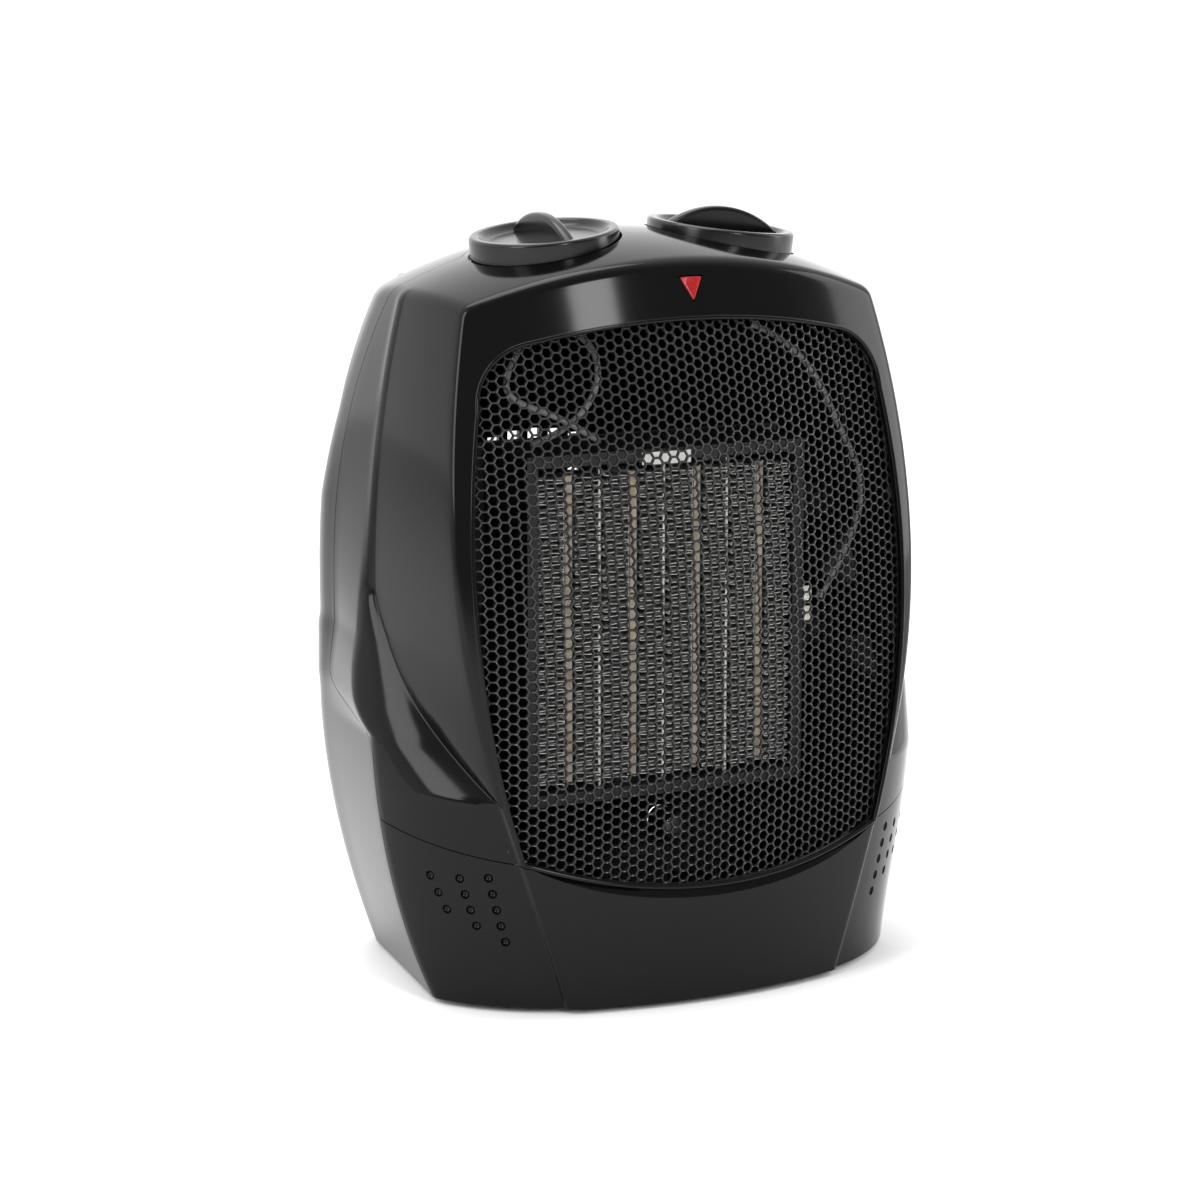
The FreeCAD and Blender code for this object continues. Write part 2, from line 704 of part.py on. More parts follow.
# ------------------------------------------------------- knobs and controls
def knob(label, side, turn):
    """Round knob with a dished top and an upright half-moon grip across it."""
    deep, rim, dish = size("knob_deep"), size("knob_rim"), size("knob_dish")
    radius, hub, bore = size("knob_radius"), size("hub_radius"), size("spindle_radius")
    body = new_body(label)
    sketch = new_sketch(body, "XZ_Plane")
    draw_outline(sketch, [(0, -dish), (radius - rim, -dish), (radius - rim + 0.6, 0), (radius - 0.8, 0),
                          (radius, -0.8), (radius, -deep), (radius - 2, -deep), (radius - 2, -dish - 2),
                          (hub, -dish - 2), (hub, 1.8 - deep), (0, 1.8 - deep)])
    turned = body.newObject("PartDesign::Revolution", label + "_dish")
    turned.Profile = sketch
    turned.ReferenceAxis = (sketch, ["V_Axis"])
    turned.Angle = 360
    grip = new_sketch(body, "XZ_Plane")
    reach = size("fin_radius")
    centre_z = size("fin_rise") - reach
    foot_z = -dish - 0.5
    half = math.sqrt(reach ** 2 - (foot_z - centre_z) ** 2)
    grip.addGeometry(Part.Arc(V(-half, foot_z, 0), V(0, size("fin_rise"), 0), V(half, foot_z, 0)), False)
    grip.addGeometry(Part.LineSegment(V(half, foot_z, 0), V(-half, foot_z, 0)), False)
    pad(body, grip, "dims.fin_thick", middle=True)
    hole = new_sketch(body, "XY_Plane", str(1.8 - deep))
    draw_circle(hole, 0, 0, "dims.spindle_radius + dims.spindle_fit")
    pocket = body.newObject("PartDesign::Pocket", label + "_bore")
    pocket.Profile = hole
    pocket.Length = 3.2
    pocket.Reversed = True
    along_knob(body, side, 0.0, turn)
    return body


def spindle(label, side):
    """Spindle from inside the switch up into the knob's hub."""
    return knob_cylinder(label, side, "dims.spindle_radius", str(28.0 - 2.9 - 1.0), -28.0)


def switch_case(label, side, wide, long):
    """Switch housing under the seat, with a neck through the seat floor, bored for the spindle."""
    top = SEAT_FLOOR - size("wall")
    block = doc.addObject("Part::Box", label + "_block")
    block.setExpression("Length", wide)
    block.setExpression("Width", long)
    block.setExpression("Height", "dims.switch_high")
    offset = V(-size("switch_wide") / 2, -size("switch_wide") / 2, top - size("switch_high"))
    block.Placement = knob_placement(side).multiply(FreeCAD.Placement(offset, FreeCAD.Rotation()))
    neck = knob_cylinder(label + "_neck", side, "dims.neck_radius", "4.7", top - 0.2)
    bore = knob_cylinder(label + "_bore", side, "dims.spindle_radius + dims.spindle_fit", "40.0", -28.0)
    return cut(label, fuse(label + "_solid", [block, neck]), bore)


def neck_nut(label, side):
    """Hexagon nut on the neck, on the floor of the seat."""
    body = new_body(label)
    sketch = new_sketch(body, "XY_Plane")
    corners = [(size("nut_radius") * math.cos(math.radians(60 * k)),
                size("nut_radius") * math.sin(math.radians(60 * k))) for k in range(6)]
    draw_outline(sketch, corners)
    draw_circle(sketch, 0, 0, "dims.neck_radius")
    pad(body, sketch, "dims.nut_high")
    return along_knob(body, side, SEAT_FLOOR)


POINTER_FORWARD = 90.0
keep(knob("mode_knob", -1, POINTER_FORWARD), "mode_knob")
keep(knob("thermostat_knob", 1, 0.0), "thermostat_knob")
keep(spindle("mode_spindle", -1), "mode_spindle")
keep(spindle("thermostat_spindle", 1), "thermostat_spindle")
keep(switch_case("mode_switch", -1, "dims.switch_wide", "dims.switch_wide"), "mode_switch")
keep(switch_case("thermostat", 1, "dims.switch_wide", "dims.switch_wide"), "thermostat")
keep(group("control_nuts", [neck_nut("mode_nut", -1), neck_nut("thermostat_nut", 1)]), "control_nuts")


# ------------------------------------------------------- heating block
def heater_frame():
    """Moulded frame round the heating block, open front and back."""
    margin = size("frame_wall")
    half, low, high = size("block_half"), size("block_low"), size("block_high")
    wide, tall = str(2 * (half + margin)), str(high - low + 2 * margin)
    blank = box("frame_blank", (wide, "dims.block_deep + 2", tall),
                (str(-half - margin), "dims.block_front - 1", str(low - margin)))
    space = box("frame_space", (str(2 * half), "dims.block_deep + 10", str(high - low)),
                (str(-half), "dims.block_front - 5", str(low)))
    return cut("heater_frame", blank, space)


keep(heater_frame(), "heater_frame")

BAR_COUNT = 4
module_wide = 2 * size("block_half") / BAR_COUNT
block_high = size("block_high") - size("block_low")


def heating_modules():
    """Bars, electrode plates and corrugated fin packs, module by module across the block."""
    bars, plates, packs = [], [], []
    plate, bar = size("plate_thick"), size("bar_wide")
    pack_wide = (module_wide - bar - 2 * plate) / 2
    for index in range(BAR_COUNT):
        left = -size("block_half") + index * module_wide
        middle = left + module_wide / 2
        bars.append(box(f"bar_{index}", ("dims.bar_wide", "dims.block_deep - 4", str(block_high - 6)),
                        (str(middle - bar / 2), "dims.block_front + 2", str(size("block_low") + 3))))
        packs.append(fin_pack(f"pack_{index}_left", left + plate / 2, pack_wide))
        packs.append(fin_pack(f"pack_{index}_right", middle + bar / 2 + plate / 2, pack_wide))
    for index in range(1, BAR_COUNT):
        x = -size("block_half") + index * module_wide - plate / 2
        plates.append(box(f"plate_{index}", ("dims.plate_thick", "dims.block_deep - 4.5", str(block_high)),
                          (str(x), "dims.block_front + 2.5", "dims.block_low")))
    return bars, plates, packs


def fin_pack(name, left, wide):
    """Aluminium strip beside a bar: an upright spine with level leaves across the air stream."""
    body = new_body(name)
    sheet, pitch = size("fin_sheet"), size("fin_pitch")
    low, high = size("block_low") + 2, size("block_high") - 2
    place = "-dims.block_front - dims.block_deep + 1"
    spine = new_sketch(body, "XZ_Plane", place)
    draw_outline(spine, [(left, low), (left + sheet, low), (left + sheet, high), (left, high)])
    pad(body, spine, "dims.block_deep - 2")
    leaf = new_sketch(body, "XZ_Plane", place)
    right = left + wide
    draw_outline(leaf, [(left, low), (right, low), (right, low + sheet), (left, low + sheet)])
    leaf_pad = pad(body, leaf, "dims.block_deep - 2")
    stack = body.newObject("PartDesign::LinearPattern", name + "_leaves")
    stack.Originals = [leaf_pad]
    stack.Direction = (leaf, ["V_Axis"])
    stack.Length = high - low - sheet
    stack.Occurrences = int((high - low) // pitch)
    body.Tip = stack
    return body


bar_list, plate_list, pack_list = heating_modules()
keep(group("ptc_bars", bar_list), "ptc_bars")
keep(group("electrode_plates", plate_list), "electrode_plates")
keep(group("heater_fins", pack_list), "heater_fins")


def heater_terminals():
    """Tabs at the right of the block that carry the current."""
    tabs = []
    for index, z in enumerate((116.5, 123.5)):
        tabs.append(box(f"tab_{index}", ("9.0", "0.8", "5.0"),
                        ("dims.block_half + dims.frame_wall", "-29.0", str(z))))
    return group("heater_terminals", tabs)


keep(heater_terminals(), "heater_terminals")
cutout_body = box("cutout_body", ("18.0", "2.4", "4.2"), ("-11.0", "-38.0", "176.2"))
keep(cutout_body, "thermal_cutout")


# ------------------------------------------------------- duct, fan and motor
def air_duct():
    """Shroud from the fan ring to the square frame of the heating block."""
    half = size("duct_half")
    margin = size("frame_wall")
    front = size("block_front") - 1
    low, high = size("block_low") - margin, size("block_high") + margin
    middle_y = DUCT_FLANGE_Y
    wall = size("duct_wall")
    sleeve = box("duct_sleeve", (str(2 * (size("block_half") + margin + wall)), str(middle_y - front),
                                 str(high - low + 2 * wall)),
                 (str(-size("block_half") - margin - wall), str(front), str(low - wall)))
    sleeve_space = box("duct_sleeve_space", (str(2 * (size("block_half") + margin)), "80.0", str(high - low)),
                       (str(-size("block_half") - margin), str(front - 5), str(low)))
    flange = box("duct_flange", (str(2 * half), "dims.duct_wall", str(2 * half)),
                 (str(-half), str(middle_y), f"dims.fan_z - {half}"))
    ring = cylinder("duct_ring", "dims.ring_radius + dims.duct_wall", str(size("ring_end") - middle_y),
                    ("0.0", str(middle_y), "dims.fan_z"), "y")
    bore = cylinder("duct_bore", "dims.ring_radius", "80.0", ("0.0", str(middle_y - 1), "dims.fan_z"), "y")
    lugs = [box(f"duct_lug_{SIDES[side]}", ("9.0", "6.0", "14.0"),
                (str(side * 57.5 - 4.5), str(size("ring_end") - 6), "dims.fan_z - 7")) for side in (-1, 1)]
    ears = [box(f"duct_ear_{z:.0f}", ("166.0", "dims.duct_wall", "12.0"),
                ("-83.0", str(middle_y), f"{z} - 6")) for z in DUCT_SCREW_LEVELS]
    tube = cut("duct_tube", sleeve, sleeve_space)
    round_part = cut("duct_round", fuse("duct_round_solid", [flange, ring] + lugs + ears), bore)
    holes = [cylinder(f"duct_lug_hole_{SIDES[side]}", "1.5", "8.0",
                      (str(side * 58.5), str(size("ring_end") - 7), "dims.fan_z"), "y") for side in (-1, 1)]
    holes += [cylinder(f"duct_ear_hole_{SIDES[side]}_{z:.0f}", "1.7", "6.0",
                       (str(side * DUCT_SCREW_X), str(middle_y - 2), str(z)), "y")
              for side, z in DUCT_SCREW_PLACES]
    holes.append(box("duct_tab_window", ("6.0", "4.0", "26.0"), ("48.5", "-30.5", "109.5")))
    return cut("air_duct", fuse("duct_solid", [tube, round_part]), fuse("duct_holes", holes))


keep(air_duct(), "air_duct")


def duct_screws():
    """Screws through the duct flange into the bosses of the front housing."""
    screws = []
    for side, z in DUCT_SCREW_PLACES:
        name = f"{SIDES[side]}_{z:.0f}"
        x = str(side * DUCT_SCREW_X)
        shank = cylinder(f"duct_shank_{name}", "1.5", "10.0", (x, str(DUCT_FLANGE_Y), str(z)), "y")
        head = cylinder(f"duct_head_{name}", "3.0", "2.0", (x, str(DUCT_FLANGE_Y - 2), str(z)), "y")
        screws.append(fuse(f"duct_screw_{name}", [head, shank]))
    return group("duct_screws", screws)


keep(duct_screws(), "duct_screws")


def fan_wheel():
    """Hub with seven twisted blades, turning inside the duct ring."""
    body = new_body("fan_wheel")
    hub = new_sketch(body, "XZ_Plane", "-dims.fan_front - dims.fan_deep")
    draw_circle(hub, 0, 0, "dims.fan_hub")
    draw_circle(hub, 0, 0, "dims.shaft_radius")
    pad(body, hub, "dims.fan_deep")
    return body


BLADE_COUNT = 7


def fan_blade(index):
    """One blade lofted from hub to tip between two turned sections."""
    hub, tip = size("fan_hub") - 1.0, size("fan_radius")
    thick, deep = size("blade_thick"), size("fan_deep") - 2
    sections = []
    for radius, pitch, chord in ((hub, 52.0, 15.0), (tip, 66.0, 26.0)):
        run = chord * math.sin(math.radians(pitch))
        rise = min(chord * math.cos(math.radians(pitch)), deep)
        centre_y = size("fan_front") + size("fan_deep") / 2
        corners = [V(-run / 2, centre_y - rise / 2, radius), V(run / 2, centre_y + rise / 2 - thick, radius),
                   V(run / 2, centre_y + rise / 2, radius), V(-run / 2, centre_y - rise / 2 + thick, radius)]
        sections.append(Part.makePolygon(corners + corners[:1]))
    blade = Part.makeLoft(sections, True, True)
    blade.rotate(V(0, 0, 0), V(0, 1, 0), 360.0 * index / BLADE_COUNT)
    return blade


doc.recompute()


def whole_fan():
    """Hub and blades as one moulding, cut back to the tip circle."""
    hub = fan_wheel()
    doc.recompute()
    solid = hub.Shape.copy()
    for index in range(BLADE_COUNT):
        solid = solid.fuse(fan_blade(index))
    trim = Part.makeCylinder(size("fan_radius"), size("fan_deep"), V(0, size("fan_front"), 0), V(0, 1, 0))
    bore = Part.makeCylinder(size("shaft_radius"), 60, V(0, -20, 0), V(0, 1, 0))
    moulding = doc.addObject("Part::Feature", "fan_moulding")
    moulding.Shape = solid.common(trim).cut(bore).removeSplitter()
    moulding.Placement = FreeCAD.Placement(V(0, 0, size("fan_z")), FreeCAD.Rotation())
    hub.Label = "fan_hub_blank"
    return moulding


keep(whole_fan(), "fan_wheel")


def on_motor_axis(name, radius, start, length):
    return cylinder(name, radius, str(length), ("0.0", str(start), "dims.fan_z"), "y")


shaft_long = size("shaft_end") - size("shaft_front")
rotor_front, rotor_long = size("stator_front") - 1, size("stator_deep") + 2
keep(on_motor_axis("motor_shaft", "dims.shaft_radius", size("shaft_front"), shaft_long), "motor_shaft")
rotor = cut("motor_rotor", on_motor_axis("rotor_blank", "dims.rotor_radius", rotor_front, rotor_long),
            on_motor_axis("rotor_bore", "dims.shaft_radius", rotor_front - 1, rotor_long + 2))
keep(rotor, "motor_rotor")


def motor_stator():
    """Laminated C-shaped stack with the bore for the rotor and the window for the coil."""
    high = size("stator_high") - size("stator_low")
    stack = box("stack", (str(2 * size("stator_half")), "dims.stator_deep", str(high)),
                (str(-size("stator_half")), "dims.stator_front", "dims.stator_low"))
    bore = on_motor_axis("stack_bore", "dims.rotor_radius + dims.rotor_gap", size("stator_front") - 1, 30.0)
    windows = [box(f"stack_window_{SIDES[side]}", ("12.0", "40.0", "9.0"),
                   (str(side * 14.0 - 6.0), "dims.stator_front - 5", "dims.stator_low + 9.5"))
               for side in (-1, 1)]
    ears = [cylinder(f"stack_hole_{SIDES[side]}", "1.7", "40.0",
                     (str(side * 24.0), "dims.stator_front - 5", "dims.fan_z"), "y") for side in (-1, 1)]
    return cut("motor_stator", stack, fuse("stack_spaces", [bore] + windows + ears))


keep(motor_stator(), "motor_stator")


def motor_coil():
    """Winding on its bobbin round the middle leg between the two windows."""
    wound = box("coil_blank", ("30.0", str(size("stator_deep") + 14), "8.0"),
                ("-15.0", "dims.stator_front - 7", "dims.stator_low + 10"))
    leg = box("coil_leg", ("16.0", "dims.stator_deep + 0.2", "20.0"),
              ("-8.0", "dims.stator_front - 0.1", "dims.stator_low + 5"))
    return cut("motor_coil", wound, leg)


keep(motor_coil(), "motor_coil")


def bearing_bracket(name, start):
    """Sheet bracket across the motor with a round cup for the bearing."""
    strap = box(name + "_strap", ("60.0", "1.5", "14.0"), ("-30.0", str(start), "dims.fan_z - 7"))
    cup = on_motor_axis(name + "_cup", "6.0", start, 1.5)
    hole = on_motor_axis(name + "_hole", "3.5", start - 1, 4.0)
    ears = [cylinder(f"{name}_ear_{SIDES[side]}", "1.7", "6.0",
                     (str(side * 24.0), str(start - 2), "dims.fan_z"), "y") for side in (-1, 1)]
    return cut(name, fuse(name + "_solid", [strap, cup]), fuse(name + "_holes", [hole] + ears))


BRACKET_FRONT, BRACKET_REAR = 29.0, 52.0
keep(group("motor_brackets", [bearing_bracket("bracket_front", BRACKET_FRONT),
                              bearing_bracket("bracket_rear", BRACKET_REAR)]), "motor_brackets")


def bearing(name, start):
    blank = on_motor_axis(name + "_blank", "3.5", start - 1.0, 3.5)
    bore = on_motor_axis(name + "_bore", "dims.shaft_radius + dims.bearing_fit", start - 3, 9.0)
    return cut(name, blank, bore)


keep(group("motor_bearings", [bearing("bearing_front", BRACKET_FRONT),
                              bearing("bearing_rear", BRACKET_REAR)]), "motor_bearings")


def motor_mount():
    """Steel strap across the duct ring that carries the motor."""
    strap = box("mount_strap", ("128.0", "1.5", "14.0"), ("-64.0", "dims.ring_end", "dims.fan_z - 7"))
    window = on_motor_axis("mount_window", "9.0", size("ring_end") - 1, 5.0)
    plate = on_motor_axis("mount_plate", "14.0", size("ring_end"), 1.5)
    holes = [cylinder(f"mount_hole_{SIDES[side]}_{x}", "1.7", "6.0",
                      (str(side * x), "dims.ring_end - 2", "dims.fan_z"), "y")
             for side in (-1, 1) for x in (24.0, 58.5)]
    return cut("motor_mount", fuse("mount_solid", [strap, plate]), fuse("mount_holes", [window] + holes))


keep(motor_mount(), "motor_mount")


def motor_sleeves():
    """Spacers that hold the brackets apart from the mount and the stack."""
    sleeves = []
    gaps = {"mount": (size("ring_end") + 1.5, BRACKET_FRONT),
            "front": (BRACKET_FRONT + 1.5, size("stator_front")),
            "rear": (size("stator_front") + size("stator_deep"), BRACKET_REAR)}
    for name, (start, end) in gaps.items():
        for side in (-1, 1):
            at = (str(side * 24.0), str(start), "dims.fan_z")
            tube = cylinder(f"sleeve_{name}_{SIDES[side]}_tube", "3.0", str(end - start), at, "y")
            hole = cylinder(f"sleeve_{name}_{SIDES[side]}_hole", "1.7", "30.0",
                            (str(side * 24.0), str(start - 5), "dims.fan_z"), "y")
            sleeves.append(cut(f"sleeve_{name}_{SIDES[side]}", tube, hole))
    return group("motor_sleeves", sleeves)


keep(motor_sleeves(), "motor_sleeves")


def screw_along_y(name, x, z, tip, head_start, shank="1.5", head="3.0"):
    """Pan-head screw with its head behind, shank reaching forwards to the tip."""
    bar = cylinder(name + "_shank", shank, str(head_start - tip), (str(x), str(tip), z), "y")
    top = cylinder(name + "_head", head, "2.0", (str(x), str(head_start), z), "y")
    return fuse(name, [bar, top])


keep(group("motor_screws", [screw_along_y(f"motor_screw_{SIDES[side]}", side * 24.0, "dims.fan_z", 21.0,
                                          BRACKET_REAR + 1.5) for side in (-1, 1)]), "motor_screws")
keep(group("mount_screws", [screw_along_y(f"mount_screw_{SIDES[side]}", side * 58.5, "dims.fan_z", 16.5,
                                          size("ring_end") + 1.5) for side in (-1, 1)]), "mount_screws")


def fan_clip():
    """Push-on clip that keeps the wheel on its shaft."""
    blank = on_motor_axis("clip_blank", "4.5", size("fan_front") + size("fan_deep"), 1.5)
    bore = on_motor_axis("clip_bore", "dims.shaft_radius", size("fan_front") + size("fan_deep") - 1, 4.0)
    return cut("fan_clip", blank, bore)


keep(fan_clip(), "fan_clip")


# ------------------------------------------------------- electrical parts low in the casing
keep(box("tip_over_switch", ("20.0", "14.0", "18.0"), ("-44.0", "0.0", "5.0")), "tip_over_switch")
keep(box("terminal_block", ("26.0", "12.0", "10.0"), ("12.0", "40.0", "5.0")), "terminal_block")


def inlet_bush():
    """Ring in the back wall where the supply cord would enter."""
    outer = cylinder("bush_outer", "dims.inlet_radius", "12.0", ("dims.inlet_x", "54.0", "dims.inlet_z"), "y")
    hole = cylinder("bush_hole", "3.6", "30.0", ("dims.inlet_x", "45.0", "dims.inlet_z"), "y")
    return cut("cord_inlet_bush", outer, hole)


keep(inlet_bush(), "cord_inlet_bush")

# sleeved leads from the two controls to the heating block, through these places
LEAD_RADIUS = 1.1
LEAD_PATHS = {
    "mode_live": [(-40.0, -22.0, 219.0), (-56.0, -33.0, 211.0), (-59.0, -36.5, 204.0), (-44.0, -37.0, 195.0),
                  (-28.0, -35.0, 186.5), (-22.0, -27.0, 183.5)],
    "mode_neutral": [(-28.0, -22.0, 219.0), (-24.0, -30.0, 211.0), (-26.0, -33.5, 202.0),
                     (-38.0, -33.0, 189.0), (-46.0, -27.0, 184.0)],
    "thermostat_live": [(38.0, -22.0, 219.0), (56.0, -32.0, 203.0), (67.0, -34.5, 181.0),
                        (74.5, -34.0, 165.0), (70.0, -31.0, 140.0), (62.0, -28.6, 124.0)],
}


def lead(name, places):
    """Round lead that runs smoothly through its places."""
    curve = Part.BSplineCurve()
    curve.interpolate([V(*place) for place in places])
    start, direction = curve.value(0.0), curve.tangent(0.0)[0]
    ring = Part.Wire(Part.Circle(start, direction, LEAD_RADIUS).toShape())
    solid = doc.addObject("Part::Feature", "lead_" + name)
    solid.Shape = Part.Wire(curve.toShape()).makePipeShell([ring], True, True)
    return solid


keep(group("wiring", [lead(name, places) for name, places in LEAD_PATHS.items()]), "wiring")


# ------------------------------------------------------- checking and export
doc.recompute()
faults = [item.Label for item in doc.Objects if "Invalid" in item.State or "Error" in item.State]
for item in SUB_PARTS:
    if item.Shape.isNull() or not item.Shape.isValid() or not item.Shape.Solids:
        faults.append(item.Label)
if faults:
    raise RuntimeError("failed objects: " + ", ".join(faults))
os.makedirs("parts", exist_ok=True)
for item in SUB_PARTS:
    item.Shape.exportStep(f"parts/{item.Label}.step")
print(len(SUB_PARTS), "sub-parts written")
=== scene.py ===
"""Visual model of the ceramic heater: glossy casing shells, pierced mesh, heating block, knobs."""
import json
import math

import bmesh
import bpy
import numpy as np
from mathutils import Matrix, Vector


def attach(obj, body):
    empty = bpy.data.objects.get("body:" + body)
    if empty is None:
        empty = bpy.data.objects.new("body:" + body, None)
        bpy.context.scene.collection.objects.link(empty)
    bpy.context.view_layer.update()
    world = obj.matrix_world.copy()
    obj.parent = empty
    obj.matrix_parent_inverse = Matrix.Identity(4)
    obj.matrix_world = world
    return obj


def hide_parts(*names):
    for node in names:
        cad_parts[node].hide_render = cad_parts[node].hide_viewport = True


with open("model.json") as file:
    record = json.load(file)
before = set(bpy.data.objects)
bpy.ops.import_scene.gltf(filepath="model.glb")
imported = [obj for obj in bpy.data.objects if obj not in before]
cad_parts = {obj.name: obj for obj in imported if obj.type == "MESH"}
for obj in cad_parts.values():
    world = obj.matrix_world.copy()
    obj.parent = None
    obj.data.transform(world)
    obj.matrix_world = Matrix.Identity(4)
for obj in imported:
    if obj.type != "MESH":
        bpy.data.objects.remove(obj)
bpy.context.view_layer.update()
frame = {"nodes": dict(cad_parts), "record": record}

MM = 0.001
NODES = frame["nodes"]


# ------------------------------------------------------------------ camera
def make_camera():
    """Camera at the viewing angle of the reference: from the left front, a little above."""
    yaw, pitch, distance = math.radians(25.5), math.radians(11.25), 1.1
    forward = Vector((math.sin(yaw) * math.cos(pitch), math.cos(yaw) * math.cos(pitch), -math.sin(pitch)))
    right = forward.cross(Vector((0, 0, 1))).normalized()
    aim = Vector((0, -0.0195, 0.1267)) - right * 0.0159
    data = bpy.data.cameras.new("camera")
    data.lens = 97.3
    data.sensor_width = 36.0
    camera = bpy.data.objects.new("camera", data)
    camera.location = aim - forward * distance
    camera.rotation_euler = forward.to_track_quat("-Z", "Y").to_euler()
    bpy.context.scene.collection.objects.link(camera)
    bpy.context.scene.camera = camera


make_camera()


# ------------------------------------------------------------------ mesh helpers
def link(name, mesh):
    """Object for a mesh, put into the scene."""
    piece = bpy.data.objects.new(name, mesh)
    bpy.context.scene.collection.objects.link(piece)
    return piece


def mesh_piece(name, points, faces, smooth=True, sharp_angle=35.0):
    """New object from points in millimetres."""
    mesh = bpy.data.meshes.new(name)
    mesh.from_pydata([tuple(c * MM for c in p) for p in points], [], faces)
    mesh.update()
    piece = link(name, mesh)
    if smooth:
        shade(piece, sharp_angle)
    return piece


def shade(piece, angle=35.0):
    """Smooth shading, with edges sharper than the angle left crisp."""
    piece.data.polygons.foreach_set("use_smooth", [True] * len(piece.data.polygons))
    piece.data.set_sharp_from_angle(angle=math.radians(angle))


def settle(piece):
    """Applies a piece's modifiers to its mesh."""
    bpy.context.view_layer.update()
    depsgraph = bpy.context.evaluated_depsgraph_get()
    mesh = bpy.data.meshes.new_from_object(piece.evaluated_get(depsgraph))
    piece.modifiers.clear()
    piece.data = mesh
    return piece


def combine(piece, tool, operation):
    """Boolean of two solids; the tool is used up."""
    modifier = piece.modifiers.new("cut", "BOOLEAN")
    modifier.object = tool
    modifier.operation = operation
    modifier.solver = "EXACT"
    settle(piece)
    bpy.data.objects.remove(tool)
    return piece


def bend(start, corner, end, t):
    """Place at share t of the way round a softened corner."""
    return start * (1 - t) ** 2 + corner * 2 * t * (1 - t) + end * t * t


def circle(radius, z, count):
    """Points round the Z axis at one height."""
    turns = [2 * math.pi * i / count for i in range(count)]
    return [(radius * math.cos(turn), radius * math.sin(turn), z) for turn in turns]


def band(low, high, count):
    """Faces that join two closed rings of points, given the number of each ring's first point."""
    return [(low + i, low + (i + 1) % count, high + (i + 1) % count, high + i) for i in range(count)]


def copy_of(piece, name):
    """Separate object with a piece's mesh, to be used as a tool."""
    return link(name, piece.data.copy())


def extrude_outline(name, outline, axis, low, high):
    """Closed prism from a 2-D outline, along x (outline is y, z) or y (outline is x, z)."""
    count = len(outline)

    def place(pair, level):
        return (level, pair[0], pair[1]) if axis == "x" else (pair[0], level, pair[1])

    points = [place(pair, low) for pair in outline] + [place(pair, high) for pair in outline]
    faces = [tuple(range(count)), tuple(reversed(range(count, 2 * count)))]
    faces += [(i, i + count, (i + 1) % count + count, (i + 1) % count) for i in range(count)]
    piece = mesh_piece(name, points, faces, smooth=False)
    tidy_normals(piece)
    return piece


def tidy_normals(piece):
    """Turns every face of a closed piece outwards."""
    work = bmesh.new()
    work.from_mesh(piece.data)
    bmesh.ops.recalc_face_normals(work, faces=work.faces)
    work.to_mesh(piece.data)
    work.free()


# ------------------------------------------------------------------ casing form, in millimetres
FRONT_MOST, REAR_MOST, CREST_Z = 75.7, 76.5, 252.0
BELLY_Z, LEAN_RADIUS, CHIN_RADIUS, FACE_RADIUS = 92.0, 430.0, 900.0, 180.0
BEZEL_HALF, BEZEL_WIDE_Z, BEZEL_JOIN_Z, CHIN_SLOPE = 84.3, 152.0, 73.0, 0.31
BEZEL_TOP_RADIUS, BEZEL_LOW_RADIUS = 323.0, 254.0
RIM_HALF, RIM_Z, RIM_FOOT_HALF = 101.2, 90.0, 85.5
SEAM_HALF, SEAM_TOP_HALF, SEAM_Y, SEAM_TOP_Y = 94.5, 80.0, 30.5, 9.5
SIDE_LOW_HALF, SIDE_FOOT_HALF, REAR_BULGE = 98.0, 79.5, 3.5
SIDE_TAPER_Z, SIDE_TAPER_HIGH, SIDE_FOOT_Z, SIDE_FOOT_HIGH = 107.0, 126.0, 95.0, 93.0
WAIST_Z, SEAM_BEND_Z, SEAM_TOP_Z, SEAM_BEND_HIGH = 100.0, 150.0, 236.0, 83.0
ARCH_RADIUS, CROWN_RADIUS, WALL, FOOT_GAP = 172.0, 160.0, 2.4, 2.0
CHEEK_SWELL, RIM_Y, RIM_SLANT, RIM_RUN = 10.0, -21.5, 24.0, 16.0
CREASE_TOP_Y, CREASE_TOP_Z, CREASE_FALL = -3.5, 135.0, 56.0
FLARE_BOW, CHEEK_BOW, BACK_LEAN, BACK_POWER = 0.34, 2.0, 14.0, 0.833
INSET_SHARE = 0.41


def front_y(z):
    """Y of the middle of the bowed front face."""
    radius = LEAN_RADIUS if z > BELLY_Z else CHIN_RADIUS
    return -FRONT_MOST + (z - BELLY_Z) ** 2 / (2 * radius)


def bezel_edge(z):
    """Half width and Y of the edge between front face and cheek."""
    if z < BEZEL_JOIN_Z:
        half = bezel_edge(BEZEL_JOIN_Z)[0] - CHIN_SLOPE * (BEZEL_JOIN_Z - z)
    else:
        radius = BEZEL_LOW_RADIUS if z < BEZEL_WIDE_Z else BEZEL_TOP_RADIUS
        half = BEZEL_HALF - (z - BEZEL_WIDE_Z) ** 2 / (2 * radius)
    return half, front_y(z) + half ** 2 / (2 * FACE_RADIUS)


